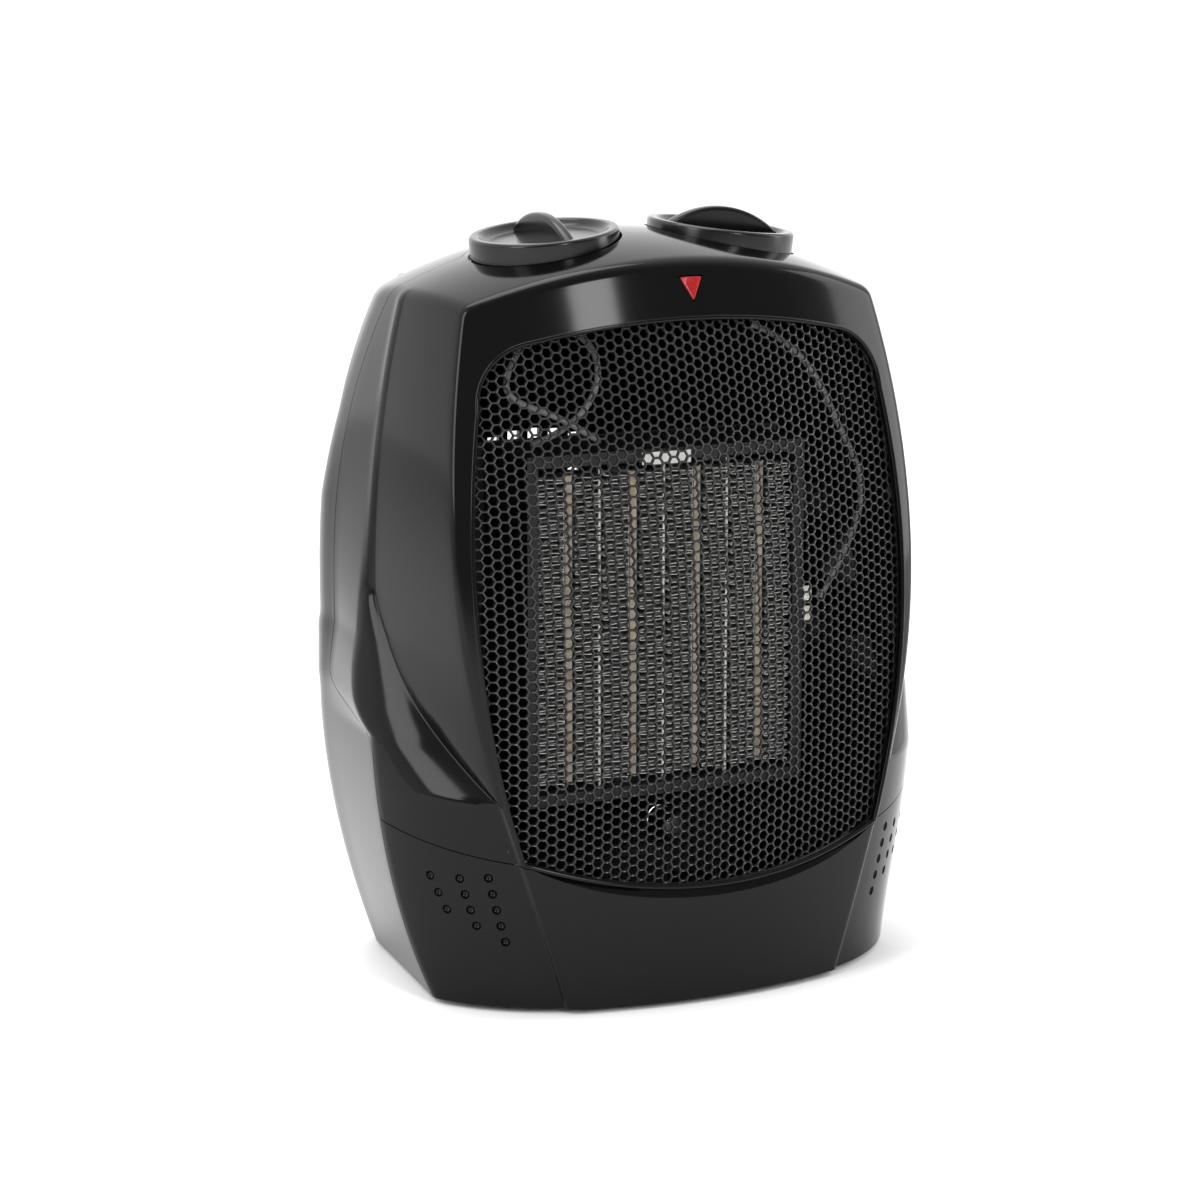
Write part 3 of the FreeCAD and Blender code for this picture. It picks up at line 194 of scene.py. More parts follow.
def side_line(z):
    """Half width and Y of the line where the cheek meets the back of the casing."""
    if z > WAIST_Z:
        up = max(z - SIDE_TAPER_Z, 0.0) / SIDE_TAPER_HIGH
        half = SEAM_HALF - (SEAM_HALF - SEAM_TOP_HALF) * up ** 2.5
        half += (SIDE_LOW_HALF - SEAM_HALF) * max(1 - (z - WAIST_Z) / 20, 0.0)
    else:
        down = max(SIDE_FOOT_Z - z, 0.0) / SIDE_FOOT_HIGH
        half = SIDE_LOW_HALF - (SIDE_LOW_HALF - SIDE_FOOT_HALF) * down ** 1.8
    if z > SEAM_BEND_Z:
        rise = (min(z, SEAM_TOP_Z) - SEAM_BEND_Z) / SEAM_BEND_HIGH
        back = SEAM_Y - (SEAM_Y - SEAM_TOP_Y) * rise ** 2.2
    else:
        back = SEAM_Y - 4 * min((SEAM_BEND_Z - z) / 50, 1.0) ** 1.5
    return half, back


def cheek_half(z, y):
    """Half width of the plain cheek at depth y, before the flare is added."""
    edge, edge_y = bezel_edge(z)
    side, side_y = side_line(z)
    share = min(max((y - edge_y) / (side_y - edge_y), 0.0), 1.0)
    return edge + (side - edge) * share + CHEEK_SWELL * share * (1 - share)


def rim_point(z):
    """Half width and Y of the flared rim."""
    if z <= RIM_Z:
        down = (RIM_Z - z) / 88
        half = RIM_HALF - (RIM_HALF - RIM_FOOT_HALF) * down ** 2
        return half, RIM_Y - 7.5 * down - 5 * down ** 6
    rise = z - RIM_Z
    y = RIM_Y + RIM_SLANT * (1 - math.exp(-rise / RIM_RUN))
    flare = (RIM_HALF - cheek_half(RIM_Z, RIM_Y)) * math.exp(-(rise / 35) ** 1.5)
    return cheek_half(z, y) + flare, y


def crease_point(z):
    """Half width and Y of the crease where the cheek meets the flare."""
    edge, edge_y = bezel_edge(z)
    if z <= BEZEL_JOIN_Z:
        return edge + 0.9, edge_y + 2.6
    y = CREASE_TOP_Y - CREASE_FALL * (max(CREASE_TOP_Z - z, 0.0) / 63) ** 1.4
    y = max(y, edge_y + 1.0)
    return cheek_half(z, y), y


def half_level(z, inset):
    """One level of the casing from the middle of the front to the middle of the back.

    The outline is five stretches joined by rounded corners; every level has the same
    number of points, so that levels stack into a clean grid.
    """
    low = z <= BEZEL_JOIN_Z
    edge, edge_y = bezel_edge(z)
    crease, crease_y = crease_point(z)
    rim, rim_y = rim_point(z)
    side, side_y = side_line(z)
    face = front_y(z) + inset
    edge_at = np.array([edge - inset * (INSET_SHARE if low else 1.0), edge_y + inset])
    crease_at = np.array([crease - inset * (INSET_SHARE if low else 0.9), crease_y + inset])
    rim_at = np.array([rim - inset, rim_y + INSET_SHARE * inset])
    side_at = np.array([side - inset, side_y])
    chord = rim_at - crease_at
    bow = np.array([chord[1], -chord[0]]) * FLARE_BOW
    swell = REAR_BULGE * min(max((190 - z) / 30, 0.0), 1.0) * min(max((z - 95) / 20, 0.0), 1.0)
    back_y = REAR_MOST - BACK_LEAN * ((z - 112) / 121) ** 4 - inset
    cheek_span = crease_at - edge_at

    def on_front(t):
        return np.array([edge_at[0] * t, face + (edge_at[1] - face) * t * t])

    def on_cheek(t):
        return edge_at + cheek_span * t + np.array([0.0 if low else CHEEK_BOW * t * (1 - t), 0.0])

    def on_flare(t):
        return crease_at + chord * t + bow * t * (1 - t)

    def on_side(t):
        return rim_at + (side_at - rim_at) * t

    def on_back(t):
        turn = t * math.pi / 2
        x = (side_at[0] + swell * min(4 * t, 1.0)) * math.cos(turn) ** BACK_POWER if t < 1 else 0.0
        return np.array([x, side_y + math.sin(turn) ** BACK_POWER * (back_y - side_y)])

    stretches = [(on_front, 32), (on_cheek, 14), (on_flare, 16), (on_side, 14), (on_back, 36)]
    radii = [1.8, 0.5, 2.4, 5.0]
    lengths = [edge_at[0]] + [max(float(np.linalg.norm(end - start)), 1e-6) for start, end in
                              ((edge_at, crease_at), (crease_at, rim_at), (rim_at, side_at))] + [70.0]
    corners = [edge_at, crease_at, rim_at, side_at]
    line = []
    for index, (curve, count) in enumerate(stretches):
        first = min(radii[index - 1] / lengths[index], 0.4) if index else 0.0
        last = 1 - min(radii[index] / lengths[index], 0.4) if index < 4 else 1.0
        if index:
            start, corner = line[-1], corners[index - 1]
            end = curve(first)
            line += [bend(start, corner, end, t) for t in (0.2, 0.4, 0.6, 0.8)]
        line += [curve(first + (last - first) * step / (count - 1)) for step in range(count)]
    return np.array(line)


def crown_z(x, y, drop=0.0):
    """Height of the arched, crowned top."""
    reach = CROWN_RADIUS - drop - x ** 2 / (2 * ARCH_RADIUS)
    return CREST_Z - CROWN_RADIUS + np.sqrt(np.maximum(reach ** 2 - y ** 2, 1.0))


CAP_RINGS, CAP_CENTRE_Y = 26, -14.0
LEVEL_LOW, LEVEL_HIGH, LEVEL_STEP = -8.0, 262.0, 1.0


def casing_solid(name, inset, bottom, rows, rounding):
    """Closed casing form: stacked levels up to the crown, a rounded top edge and the top."""
    levels = np.arange(LEVEL_LOW, LEVEL_HIGH, LEVEL_STEP)
    table = np.array([half_level(z, inset) for z in levels])
    half_count = table.shape[1]
    ring = np.concatenate([table, table[:, half_count - 2:0:-1] * np.array([-1.0, 1.0])], axis=1)
    columns = ring.shape[1]

    def at(z):
        """Outline points at one height per column."""
        place = np.clip(z - levels[0], 0, len(levels) - 1.001)
        base = place.astype(int)
        share = (place - base)[:, None]
        index = np.arange(columns)
        return ring[base, index] * (1 - share) + ring[base + 1, index] * share

    top = np.full(columns, 240.0)
    for _ in range(30):
        outline = at(top)
        top = 0.5 * top + 0.5 * crown_z(outline[:, 0], outline[:, 1], inset)
    rings = []
    shoulder = top - rounding
    for row in range(rows):
        z = bottom + (shoulder - bottom) * row / (rows - 1)
        rings.append(np.column_stack([at(z), z]))
    edge = np.column_stack([at(top), top])
    centre = np.array([0.0, CAP_CENTRE_Y])
    away = np.linalg.norm(edge[:, :2] - centre, axis=1)

    def cap_ring(scale):
        spread = centre + (edge[:, :2] - centre) * scale[:, None]
        return np.column_stack([spread, crown_z(spread[:, 0], spread[:, 1], inset)])

    lip = 1 - rounding / away
    inner = cap_ring(lip)
    rings += [bend(rings[rows - 1], edge, inner, t) for t in (0.17, 0.34, 0.5, 0.66, 0.83)]
    rings += [cap_ring(lip * (1 - step / CAP_RINGS * 0.98)) for step in range(CAP_RINGS)]
    points = np.concatenate(rings)
    faces = []
    for row in range(len(rings) - 1):
        faces += band(row * columns, (row + 1) * columns, columns)
    faces.append(tuple(reversed(range(columns))))
    faces.append(tuple(range((len(rings) - 1) * columns, len(rings) * columns)))
    return mesh_piece(name, points.tolist(), faces)


def bezier(start, first, second, end, count):
    """Points along a cubic curve, the end left out."""
    start, first, second, end = (np.array(p, float) for p in (start, first, second, end))
    out = []
    for t in np.linspace(0, 1, count, endpoint=False):
        out.append(tuple(start * (1 - t) ** 3 + first * 3 * t * (1 - t) ** 2
                         + second * 3 * t * t * (1 - t) + end * t ** 3))
    return out


def seam_outline(gap):
    """Side view of the front zone: behind it the seam, moved forwards by the gap."""
    top, swoop_top, swoop_low, bottom, step, front = 262.0, 106.0, 84.0, -10.0, 3.0, -120.0
    upper = [(side_line(z)[1] - gap, z) for z in np.arange(top, swoop_top, -step)]
    swoop = bezier((side_line(swoop_top)[1] - gap, swoop_top), (26.3 - gap, 93.0 + gap),
                   (-14.0, 101.0 + gap), (rim_point(swoop_low)[1] + 1.0 - gap, swoop_low), 24)
    rim = [(rim_point(z)[1] + 1.0 - gap, z) for z in np.arange(swoop_low, bottom, -step)]
    return upper + swoop + rim + [(front, bottom), (front, top)]


def parting_z(y):
    """Height of the sloping line between front housing and lower cover."""
    return 63.5 + (y + 20.5) * 0.282


def lower_outline(gap):
    """Side view of the zone of the lower cover, its sloping top lowered by the gap."""
    back, front, bottom = 40.0, -120.0, -12.0
    return [(back, parting_z(back) - gap), (front, parting_z(front) - gap), (front, bottom), (back, bottom)]


def circle_arc(first, middle, last, count):
    """Points on the circle through three points, from first up to but without last."""
    (ax, ay), (bx, by), (cx, cy) = first, middle, last
    d = 2 * (ax * (by - cy) + bx * (cy - ay) + cx * (ay - by))
    a, b, c = ax * ax + ay * ay, bx * bx + by * by, cx * cx + cy * cy
    ux = (a * (by - cy) + b * (cy - ay) + c * (ay - by)) / d
    uy = (a * (cx - bx) + b * (ax - cx) + c * (bx - ax)) / d
    radius = math.hypot(ax - ux, ay - uy)
    start = math.atan2(ay - uy, ax - ux)
    middle_turn = (math.atan2(by - uy, bx - ux) - start + math.pi) % (2 * math.pi) - math.pi
    turn = (math.atan2(cy - uy, cx - ux) - start) % (2 * math.pi)
    if middle_turn < 0:
        turn -= 2 * math.pi
    turns = [start + turn * i / count for i in range(count)]
    return [(ux + radius * math.cos(at), uy + radius * math.sin(at)) for at in turns]


OPENING = {"corner": (65.5, 52.5), "waist": (79.0, 145.0), "shoulder": (74.0, 198.5),
           "lobe": (69.3, 212.2), "upper": (58.5, 219.4), "crown": (0.0, 226.2), "chin": (0.0, 41.0)}


def opening_outline(lap):
    """Front view of the grille opening, widened all round by the lap."""
    shift = {"corner": (lap, -0.5 * lap), "waist": (lap, 0), "shoulder": (lap, 0.2 * lap),
             "lobe": (0.8 * lap, 0.6 * lap), "upper": (0.4 * lap, 0.9 * lap), "crown": (0, lap),
             "chin": (0, -lap)}
    at = {key: (x + shift[key][0], z + shift[key][1]) for key, (x, z) in OPENING.items()}

    def flip(point):
        return (-point[0], point[1])

    right = circle_arc(at["corner"], at["waist"], at["shoulder"], 40)
    right += circle_arc(at["shoulder"], at["lobe"], at["upper"], 12)
    top = circle_arc(at["upper"], at["crown"], flip(at["upper"]), 40)
    left = circle_arc(flip(at["upper"]), flip(at["lobe"]), flip(at["shoulder"]), 12)
    left += circle_arc(flip(at["shoulder"]), flip(at["waist"]), flip(at["corner"]), 40)
    bottom = circle_arc(flip(at["corner"]), at["chin"], at["corner"], 40)
    return right + top + left + bottom


def face_y(x, z):
    """Y of the outer front face at a place in the front view."""
    return front_y(z) + x * x / (2 * FACE_RADIUS)


# ------------------------------------------------------------------ knob frames
KNOB_X, KNOB_Y, KNOB_Z, KNOB_RADIUS, KNOB_DEEP = 33.0, -8.5, 252.0, 25.0, 7.5
SEAT_GAP, SEAT_FLOOR = 0.8, -8.1


def knob_frame(side):
    """Matrix from a knob's own frame (millimetres, Z along its spindle) to the casing's."""
    turn = Matrix.Rotation(math.radians(side * 6.0), 4, "Y") @ Matrix.Rotation(math.radians(3.0), 4, "X")
    return Matrix.Translation((side * KNOB_X, KNOB_Y, KNOB_Z)) @ turn


def round_bar(name, radius, low, high, matrix, count=96):
    """Closed cylinder along its own Z, put in place by a matrix in millimetres."""
    points = circle(radius, low, count) + circle(radius, high, count)
    faces = [tuple(reversed(range(count))), tuple(range(count, 2 * count))] + band(0, count, count)
    placed = [tuple(matrix @ Vector(p)) for p in points]
    return mesh_piece(name, placed, faces)


def block(name, low, high):
    """Plain box used as a cutting tool."""
    (ax, ay, az), (bx, by, bz) = low, high
    points = [(x, y, z) for x in (ax, bx) for y in (ay, by) for z in (az, bz)]
    faces = [(0, 1, 3, 2), (4, 6, 7, 5), (0, 4, 5, 1), (2, 3, 7, 6), (0, 2, 6, 4), (1, 5, 7, 3)]
    piece = mesh_piece(name, points, faces, smooth=False)
    tidy_normals(piece)
    return piece


def join(name, pieces):
    """One mesh from several tools that don't touch each other."""
    work = bmesh.new()
    for piece in pieces:
        work.from_mesh(piece.data)
    mesh = bpy.data.meshes.new(name)
    work.to_mesh(mesh)
    work.free()
    for piece in pieces:
        bpy.data.objects.remove(piece)
    return link(name, mesh)


# ------------------------------------------------------------------ casing shells
SEAM_GAP = 0.18
CASE_SCREWS = [(side * x, z) for side in (-1, 1) for x, z in ((60, 231), (72, 34))]
BUSH, BUSH_RADIUS, SOCKET_RADIUS, WELL_RADIUS = (48, 24), 5.05, 5.5, 3.6
DIMPLE_RADIUS = 1.6
DIMPLE_ROWS = (((-54.6, 47.2), (-55.4, 25.1), 5), ((-48.1, 46.3), (-50.0, 30.2), 4),
               ((-40.0, 46.2), (-43.2, 35.0), 3))
LIP_RADIUS, LEDGE_HIGH, LEDGE_HALF = 0.85, 3.8, 66.0


def make_shells():
    """Front housing, lower cover and rear housing, each cut from the casing form and then hollowed."""
    outer = casing_solid("outer_form", 0.0, FOOT_GAP, 120, 3.2)
    inner = casing_solid("inner_form", WALL, -5.0, 60, 2.0)

    def seat_bars(name, radius, low):
        return join(name, [round_bar(f"{name}_{side}", radius, low, 20.0, knob_frame(side))
                           for side in (-1, 1)])

    def front_zone(gap):
        return extrude_outline("front_zone", seam_outline(gap), "x", -130, 130)

    rear = combine(copy_of(outer, "rear_housing_shell"), front_zone(0.0), "DIFFERENCE")
    rear = combine(rear, copy_of(inner, "space"), "DIFFERENCE")
    sockets = rear_bars("sockets", CASE_SCREWS, SOCKET_RADIUS, 34.0, 94.0)
    sockets = combine(sockets, copy_of(outer, "limit"), "INTERSECT")
    rear = combine(rear, sockets, "UNION")
    rear = combine(rear, rear_bars("head_wells", CASE_SCREWS, WELL_RADIUS, 46.0, 95.0), "DIFFERENCE")
    rear = combine(rear, rear_bars("bush_hole", [BUSH], BUSH_RADIUS, 45.0, 95.0), "DIFFERENCE")
    rear = combine(rear, seat_bars("seat_clearance", KNOB_RADIUS + SEAT_GAP + 2.7, -12.0), "DIFFERENCE")
    rear = combine(rear, inlet_slots(), "DIFFERENCE")
    front = combine(copy_of(outer, "front_housing_shell"), front_zone(2 * SEAM_GAP), "INTERSECT")
    front = combine(front, extrude_outline("opening", opening_outline(0.0), "y", -120, 0), "DIFFERENCE")
    lower = combine(copy_of(front, "lower_cover_shell"),
                    extrude_outline("lower_zone", lower_outline(2 * SEAM_GAP), "x", -130, 130), "INTERSECT")
    front = combine(front, extrude_outline("lower_zone", lower_outline(0.0), "x", -130, 130), "DIFFERENCE")
    lower = combine(lower, copy_of(inner, "space"), "DIFFERENCE")
    lower = combine(lower, ledge_tool(), "DIFFERENCE")
    lower = combine(lower, dimples(), "DIFFERENCE")
    front = combine(front, inner, "DIFFERENCE")
    cups = combine(seat_bars("seat_cups", KNOB_RADIUS + SEAT_GAP + 2.4, -10.4), outer, "INTERSECT")
    front = combine(front, cups, "UNION")
    front = combine(front, seat_bars("wells", KNOB_RADIUS + SEAT_GAP, SEAT_FLOOR), "DIFFERENCE")
    front = combine(front, lens_tool(), "DIFFERENCE")
    for piece in (front, lower, rear):
        shade(piece, 32)
    return front, lower, rear


def rear_bars(name, places, radius, low, high):
    """Round bars along the depth at the given places of the rear housing."""
    turn = Matrix.Rotation(-math.pi / 2, 4, "X")
    bars = [round_bar(f"{name}_{index}", radius, low, high, Matrix.Translation((x, 0, z)) @ turn, 48)
            for index, (x, z) in enumerate(places)]
    return join(name, bars)


def cheek_at(y, z):
    """Half width of the lower cover's side at depth y."""
    line = half_level(z, 0.0)
    side = line[(line[:, 0] > 40) & (line[:, 1] < rim_point(z)[1])]
    return float(np.interp(y, side[:, 1], side[:, 0]))


def dimples():
    """Small round hollows in three rows on either side of the lower cover."""
    balls = []
    for side in (-1, 1):
        for first, last, count in DIMPLE_ROWS:
            for index in range(count):
                y, z = Vector(first).lerp(Vector(last), index / (count - 1))
                place = Vector((side * (cheek_at(y, z) + 0.25), y, z))
                work = bmesh.new()
                bmesh.ops.create_uvsphere(work, u_segments=20, v_segments=12, radius=DIMPLE_RADIUS * MM,
                                          matrix=Matrix.Translation(place * MM))
                mesh = bpy.data.meshes.new("dimple")
                work.to_mesh(mesh)
                work.free()
                balls.append(link("dimple", mesh))
    return join("dimples", balls)


def make_lip():
    """Fine rounded bead round the edge of the opening."""
    outline = opening_outline(-0.15)
    count, around = len(outline), 10
    points, faces = [], []
    for index, (x, z) in enumerate(outline):
        ahead, behind = outline[(index + 1) % count], outline[index - 1]
        along = Vector((ahead[0] - behind[0], 0, ahead[1] - behind[1])).normalized()
        aside = along.cross(Vector((0, 1, 0)))
        centre = Vector((x, face_y(x, z) + 0.65, z))
        for step in range(around):
            turn = 2 * math.pi * step / around
            points.append(tuple(centre + (aside * math.cos(turn) + Vector((0, 1, 0)) * math.sin(turn))
                                * LIP_RADIUS))
    for index in range(count):
        faces += band(index * around, (index + 1) % count * around, around)
    piece = mesh_piece("opening_bead", points, faces, sharp_angle=80)
    tidy_normals(piece)
    return piece


def ledge_tool():
    """Wedge that bevels the lower cover's top edge under the mesh."""
    points, faces = [], []
    outline = opening_outline(0.0)
    bottom = outline[-40:] + [outline[0]]
    for x, z in bottom:
        face = face_y(x, z)
        depth = LEDGE_HIGH * max(1 - (abs(x) / LEDGE_HALF) ** 4, 0.05)
        points += [(x, face - 3.0, z + 2.0), (x, face - 3.0, z - depth - 3.0 * depth / 2.4),
                   (x, face, z - depth), (x, face + 2.2, z - 0.1), (x, face + 2.2, z + 2.0)]
    size = 5
    for index in range(len(bottom) - 1):
        faces += band(index * size, (index + 1) * size, size)
    last = (len(bottom) - 1) * size
    faces += [tuple(range(size)), tuple(reversed(range(last, last + size)))]
    piece = mesh_piece("ledge_tool", points, faces, smooth=False)
    tidy_normals(piece)
    return piece


def inlet_slots():
    """Upright air slots in the back, their lengths following a circle."""
    reach, pitch, half_wide, middle, bridge_half = 55.0, 8.0, 2.3, 121.5, 2.5
    tools = []
    for index in range(-6, 7):
        x = index * pitch
        half = math.sqrt(reach ** 2 - x ** 2) - 3
        for low, high in ((-half, -bridge_half), (bridge_half, half)):
            if high - low > 6:
                tools.append(block(f"slot_{index}_{low:.0f}", (x - half_wide, 45, middle + low),
                                   (x + half_wide, 95, middle + high)))
    return join("inlet_slots", tools)


LENS_Z, LENS_HALF, LENS_HIGH = 235.3, 4.2, 8.5


def lens_frame():
    """Matrix from the lens's own frame (Z out of the bezel) to the casing's."""
    lean = math.atan((LENS_Z - BELLY_Z) / LEAN_RADIUS)
    return Matrix.Translation((0, front_y(LENS_Z), LENS_Z)) @ Matrix.Rotation(math.pi / 2 - lean, 4, "X")


def lens_tool():
    """Hole for the triangular pilot lens."""
    half, top, tip = LENS_HALF + 0.35, LENS_HIGH / 2 + 0.2, -LENS_HIGH / 2 - 0.4
    flat = [(-half, top), (0, tip), (half, top)]
    points = [lens_frame() @ Vector((x, y, z)) for z in (-8, 8) for x, y in flat]
    faces = [(0, 1, 2), (5, 4, 3), (0, 3, 4, 1), (1, 4, 5, 2), (2, 5, 3, 0)]
    piece = mesh_piece("lens_tool", [tuple(p) for p in points], faces, smooth=False)
    tidy_normals(piece)
    return piece


# ------------------------------------------------------------------ materials
def new_material(name, colour, roughness, metallic=0.0, **extra):
    """Principled material with uniform values set straight on its sockets."""
    material = bpy.data.materials.new(name)
    material.use_nodes = True
    shader = material.node_tree.nodes["Principled BSDF"]
    shader.inputs["Base Color"].default_value = (*colour, 1.0)
    shader.inputs["Roughness"].default_value = roughness
    shader.inputs["Metallic"].default_value = metallic
    for key, value in extra.items():
        shader.inputs[key.replace("_", " ")].default_value = value
    return material


def object_noise(tree, scale, detail):
    """Noise node on the object's own coordinates."""
    place = tree.nodes.new("ShaderNodeTexCoord")
    noise = tree.nodes.new("ShaderNodeTexNoise")
    noise.inputs["Scale"].default_value = scale
    noise.inputs["Detail"].default_value = detail
    tree.links.new(place.outputs["Object"], noise.inputs["Vector"])
    return noise


def bump_noise(material, scale, strength):
    """Fine procedural unevenness of the surface."""
    tree = material.node_tree
    noise = object_noise(tree, scale, 2.0)
    bump = tree.nodes.new("ShaderNodeBump")
    bump.inputs["Strength"].default_value = strength
    bump.inputs["Distance"].default_value = 0.0004
    tree.links.new(noise.outputs["Fac"], bump.inputs["Height"])
    tree.links.new(bump.outputs["Normal"], tree.nodes["Principled BSDF"].inputs["Normal"])


def rough_noise(material, scale, low, high):
    """Procedural roughness drifting between two values."""
    tree = material.node_tree
    noise = object_noise(tree, scale, 2.0)
    spread = tree.nodes.new("ShaderNodeMapRange")
    spread.inputs["To Min"].default_value = low
    spread.inputs["To Max"].default_value = high
    tree.links.new(noise.outputs["Fac"], spread.inputs["Value"])
    tree.links.new(spread.outputs["Result"], tree.nodes["Principled BSDF"].inputs["Roughness"])


def mottle(material, first, second, scale):
    """Procedural colour drifting between two tones."""
    tree = material.node_tree
    noise = object_noise(tree, scale, 3.0)
    ramp = tree.nodes.new("ShaderNodeValToRGB")
    for element, position, tone in zip(ramp.color_ramp.elements, (0.35, 0.65), (first, second)):
        element.position = position
        element.color = (*tone, 1.0)
    tree.links.new(noise.outputs["Fac"], ramp.inputs["Fac"])
    tree.links.new(ramp.outputs["Color"], tree.nodes["Principled BSDF"].inputs["Base Color"])
    return material


def satin(material, reflectance):
    """Sets how strongly a material mirrors its surroundings face on."""
    material.node_tree.nodes["Principled BSDF"].inputs["Specular IOR Level"].default_value = reflectance
    return material


# slot: colour, roughness, metallic, noise scale, bump strength or (lowest, highest) roughness, reflectance
FINISHES = {
    "gloss_shell": ((0.0026, 0.0026, 0.0028), 0.11, 0.0, 60, 0.02, 0.17),
    "rear_gloss": ((0.0042, 0.0043, 0.0050), 0.2, 0.0, 60, 0.02, 0.2),
    "matt_shell": ((0.010, 0.010, 0.0105), 0.42, 0.0, 2600, 0.12, 0.3),
    "knob_plastic": ((0.0035, 0.0035, 0.0038), 0.2, 0.0, 60, 0.02, 0.3),
    "grille_mesh": ((0.010, 0.010, 0.0105), 0.3, 0.0, 1500, 0.1, 0.55),
    "red_lens": ((0.26, 0.003, 0.004), 0.2, 0.0, 1500, 0.35, 0.45),
    "rubber": ((0.02, 0.02, 0.02), 0.75, 0.0, 1200, 0.3, None),
    "screw_steel": ((0.22, 0.22, 0.23), 0.32, 1.0, 900, (0.25, 0.42), None),
    "plated_steel": ((0.72, 0.71, 0.68), 0.3, 1.0, 300, (0.22, 0.4), None),
    "lamination_steel": ((0.3, 0.3, 0.31), 0.45, 1.0, 1800, 0.25, None),
    "coil_copper": ((0.55, 0.2, 0.08), 0.3, 1.0, 1500, 0.3, None),
    "bearing_bronze": ((0.45, 0.27, 0.12), 0.35, 1.0, 900, 0.1, None),
    "brass_tab": ((0.78, 0.74, 0.66), 0.28, 1.0, 500, (0.22, 0.38), None),
    "fin_aluminium": ((0.66, 0.64, 0.61), 0.27, 0.9, 900, (0.22, 0.5), None),
    "heater_frame": ((0.013, 0.0125, 0.012), 0.55, 0.0, 1200, 0.15, None),
    "duct_plastic": ((0.006, 0.006, 0.006), 0.5, 0.0, 1200, 0.15, None),
    "fan_plastic": ((0.012, 0.012, 0.013), 0.4, 0.0, 1200, 0.1, None),
    "switch_case": ((0.012, 0.012, 0.012), 0.45, 0.0, 1200, 0.1, None),
    "white_plastic": ((0.75, 0.74, 0.7), 0.4, 0.0, 1200, 0.1, None),
    "wire_insulation": ((0.20, 0.20, 0.205), 0.5, 0.0, 1200, 0.1, None),
}


def make_materials():
    """One finish for every material slot of the record."""
    made = {}
    for name, (colour, roughness, metallic, scale, grain, reflectance) in FINISHES.items():
        material = new_material(name, colour, roughness, metallic)
        if isinstance(grain, tuple):
            rough_noise(material, scale, *grain)
        else:
            bump_noise(material, scale, grain)
        if reflectance is not None:
            satin(material, reflectance)
        made[name] = material
    made["lamp_glass"] = new_material("lamp_glass", (0.9, 0.6, 0.4), 0.08, Transmission_Weight=0.8)
    ceramic = new_material("ptc_ceramic", (0.36, 0.30, 0.22), 0.55)
    made["ptc_ceramic"] = mottle(ceramic, (0.27, 0.22, 0.165), (0.46, 0.385, 0.29), 240)
    return made


def paint(piece, material):
    """Gives a piece its one material."""
    piece.data.materials.clear()
    piece.data.materials.append(material)


# ------------------------------------------------------------------ pierced grille
PITCH, STRUT, MESH_THICK = 3.4, 0.66, 1.0
SHEET_HALF_WIDE, FIRST_ROW_Z, LAST_ROW = 82.0, 38.0, 60
MESH_DEPTH = WALL + 0.15


def inside(outline, x, z):
    """Whether a place in the front view lies inside an outline."""
    hit = False
    for (ax, az), (bx, bz) in zip(outline, outline[1:] + outline[:1]):
        if (az > z) != (bz > z) and x < (bx - ax) * (z - az) / (bz - az) + ax:
            hit = not hit
    return hit


def make_grille():
    """Honeycomb sheet bowed like the front face; cells share their outer corners."""
    radius = PITCH / math.sqrt(3)
    column_step = 1.5 * radius
    rim = opening_outline(1.2)
    points, faces, shared = [], [], {}
    corner_turns = [math.radians(60 * k) for k in range(6)]
    layers = [(1.0, 0.12), (1 - STRUT / PITCH * 0.6, 0.0), (1 - STRUT / PITCH, 0.22),
              (1 - STRUT / PITCH, MESH_THICK), (1.0, MESH_THICK)]

    def add(x, z, depth, share):
        key = (round(x * 50), round(z * 50), depth) if share else None
        if key in shared:
            return shared[key]
        points.append((x, face_y(x, z) + MESH_DEPTH + depth, z))
        if share:
            shared[key] = len(points) - 1
        return len(points) - 1

    columns = int(SHEET_HALF_WIDE / column_step)
    for column in range(-columns, columns + 1):
        cx = column * column_step
        for row in range(-2, LAST_ROW):
            cz = FIRST_ROW_Z + PITCH * (row + (0.5 if column % 2 else 0.0))
            if not inside(rim, cx, cz):
                continue
            rings = []
            for scale, depth in layers:
                rings.append([add(cx + radius * scale * math.cos(turn), cz + radius * scale * math.sin(turn),
                                  depth, scale == 1.0) for turn in corner_turns])
            for first, second in zip(rings, rings[1:]):
                for k in range(6):
                    n = (k + 1) % 6
                    faces.append((first[k], first[n], second[n], second[k]))
    return mesh_piece("grille_mesh", points, faces, sharp_angle=40)


def make_grille_rim():
    """Solid border of the mesh, under the edge of the opening."""
    outer, inner = opening_outline(1.7), opening_outline(-1.0)
    count = len(outer)
    points = []
    for ring, depth in ((inner, 0.0), (inner, MESH_THICK), (outer, MESH_THICK), (outer, 0.0)):
        points += [(x, face_y(x, z) + MESH_DEPTH + depth, z) for x, z in ring]
    faces = []
    for ring in range(4):
        faces += band(ring * count, (ring + 1) % 4 * count, count)
    piece = mesh_piece("grille_border", points, faces)
    tidy_normals(piece)
    return piece


# ------------------------------------------------------------------ heating block
BLOCK_HALF, BLOCK_LOW, BLOCK_HIGH, BLOCK_FRONT, BLOCK_DEEP = 47.5, 67.0, 177.0, -34.5, 20.0
BAR_WIDE, PLATE_THICK, BARS, FOLD = 3.0, 0.8, 4, 1.35
TILES = 5
TILE_PITCH = (BLOCK_HIGH - BLOCK_LOW - 6) / TILES
SHEET_HALF = 0.11


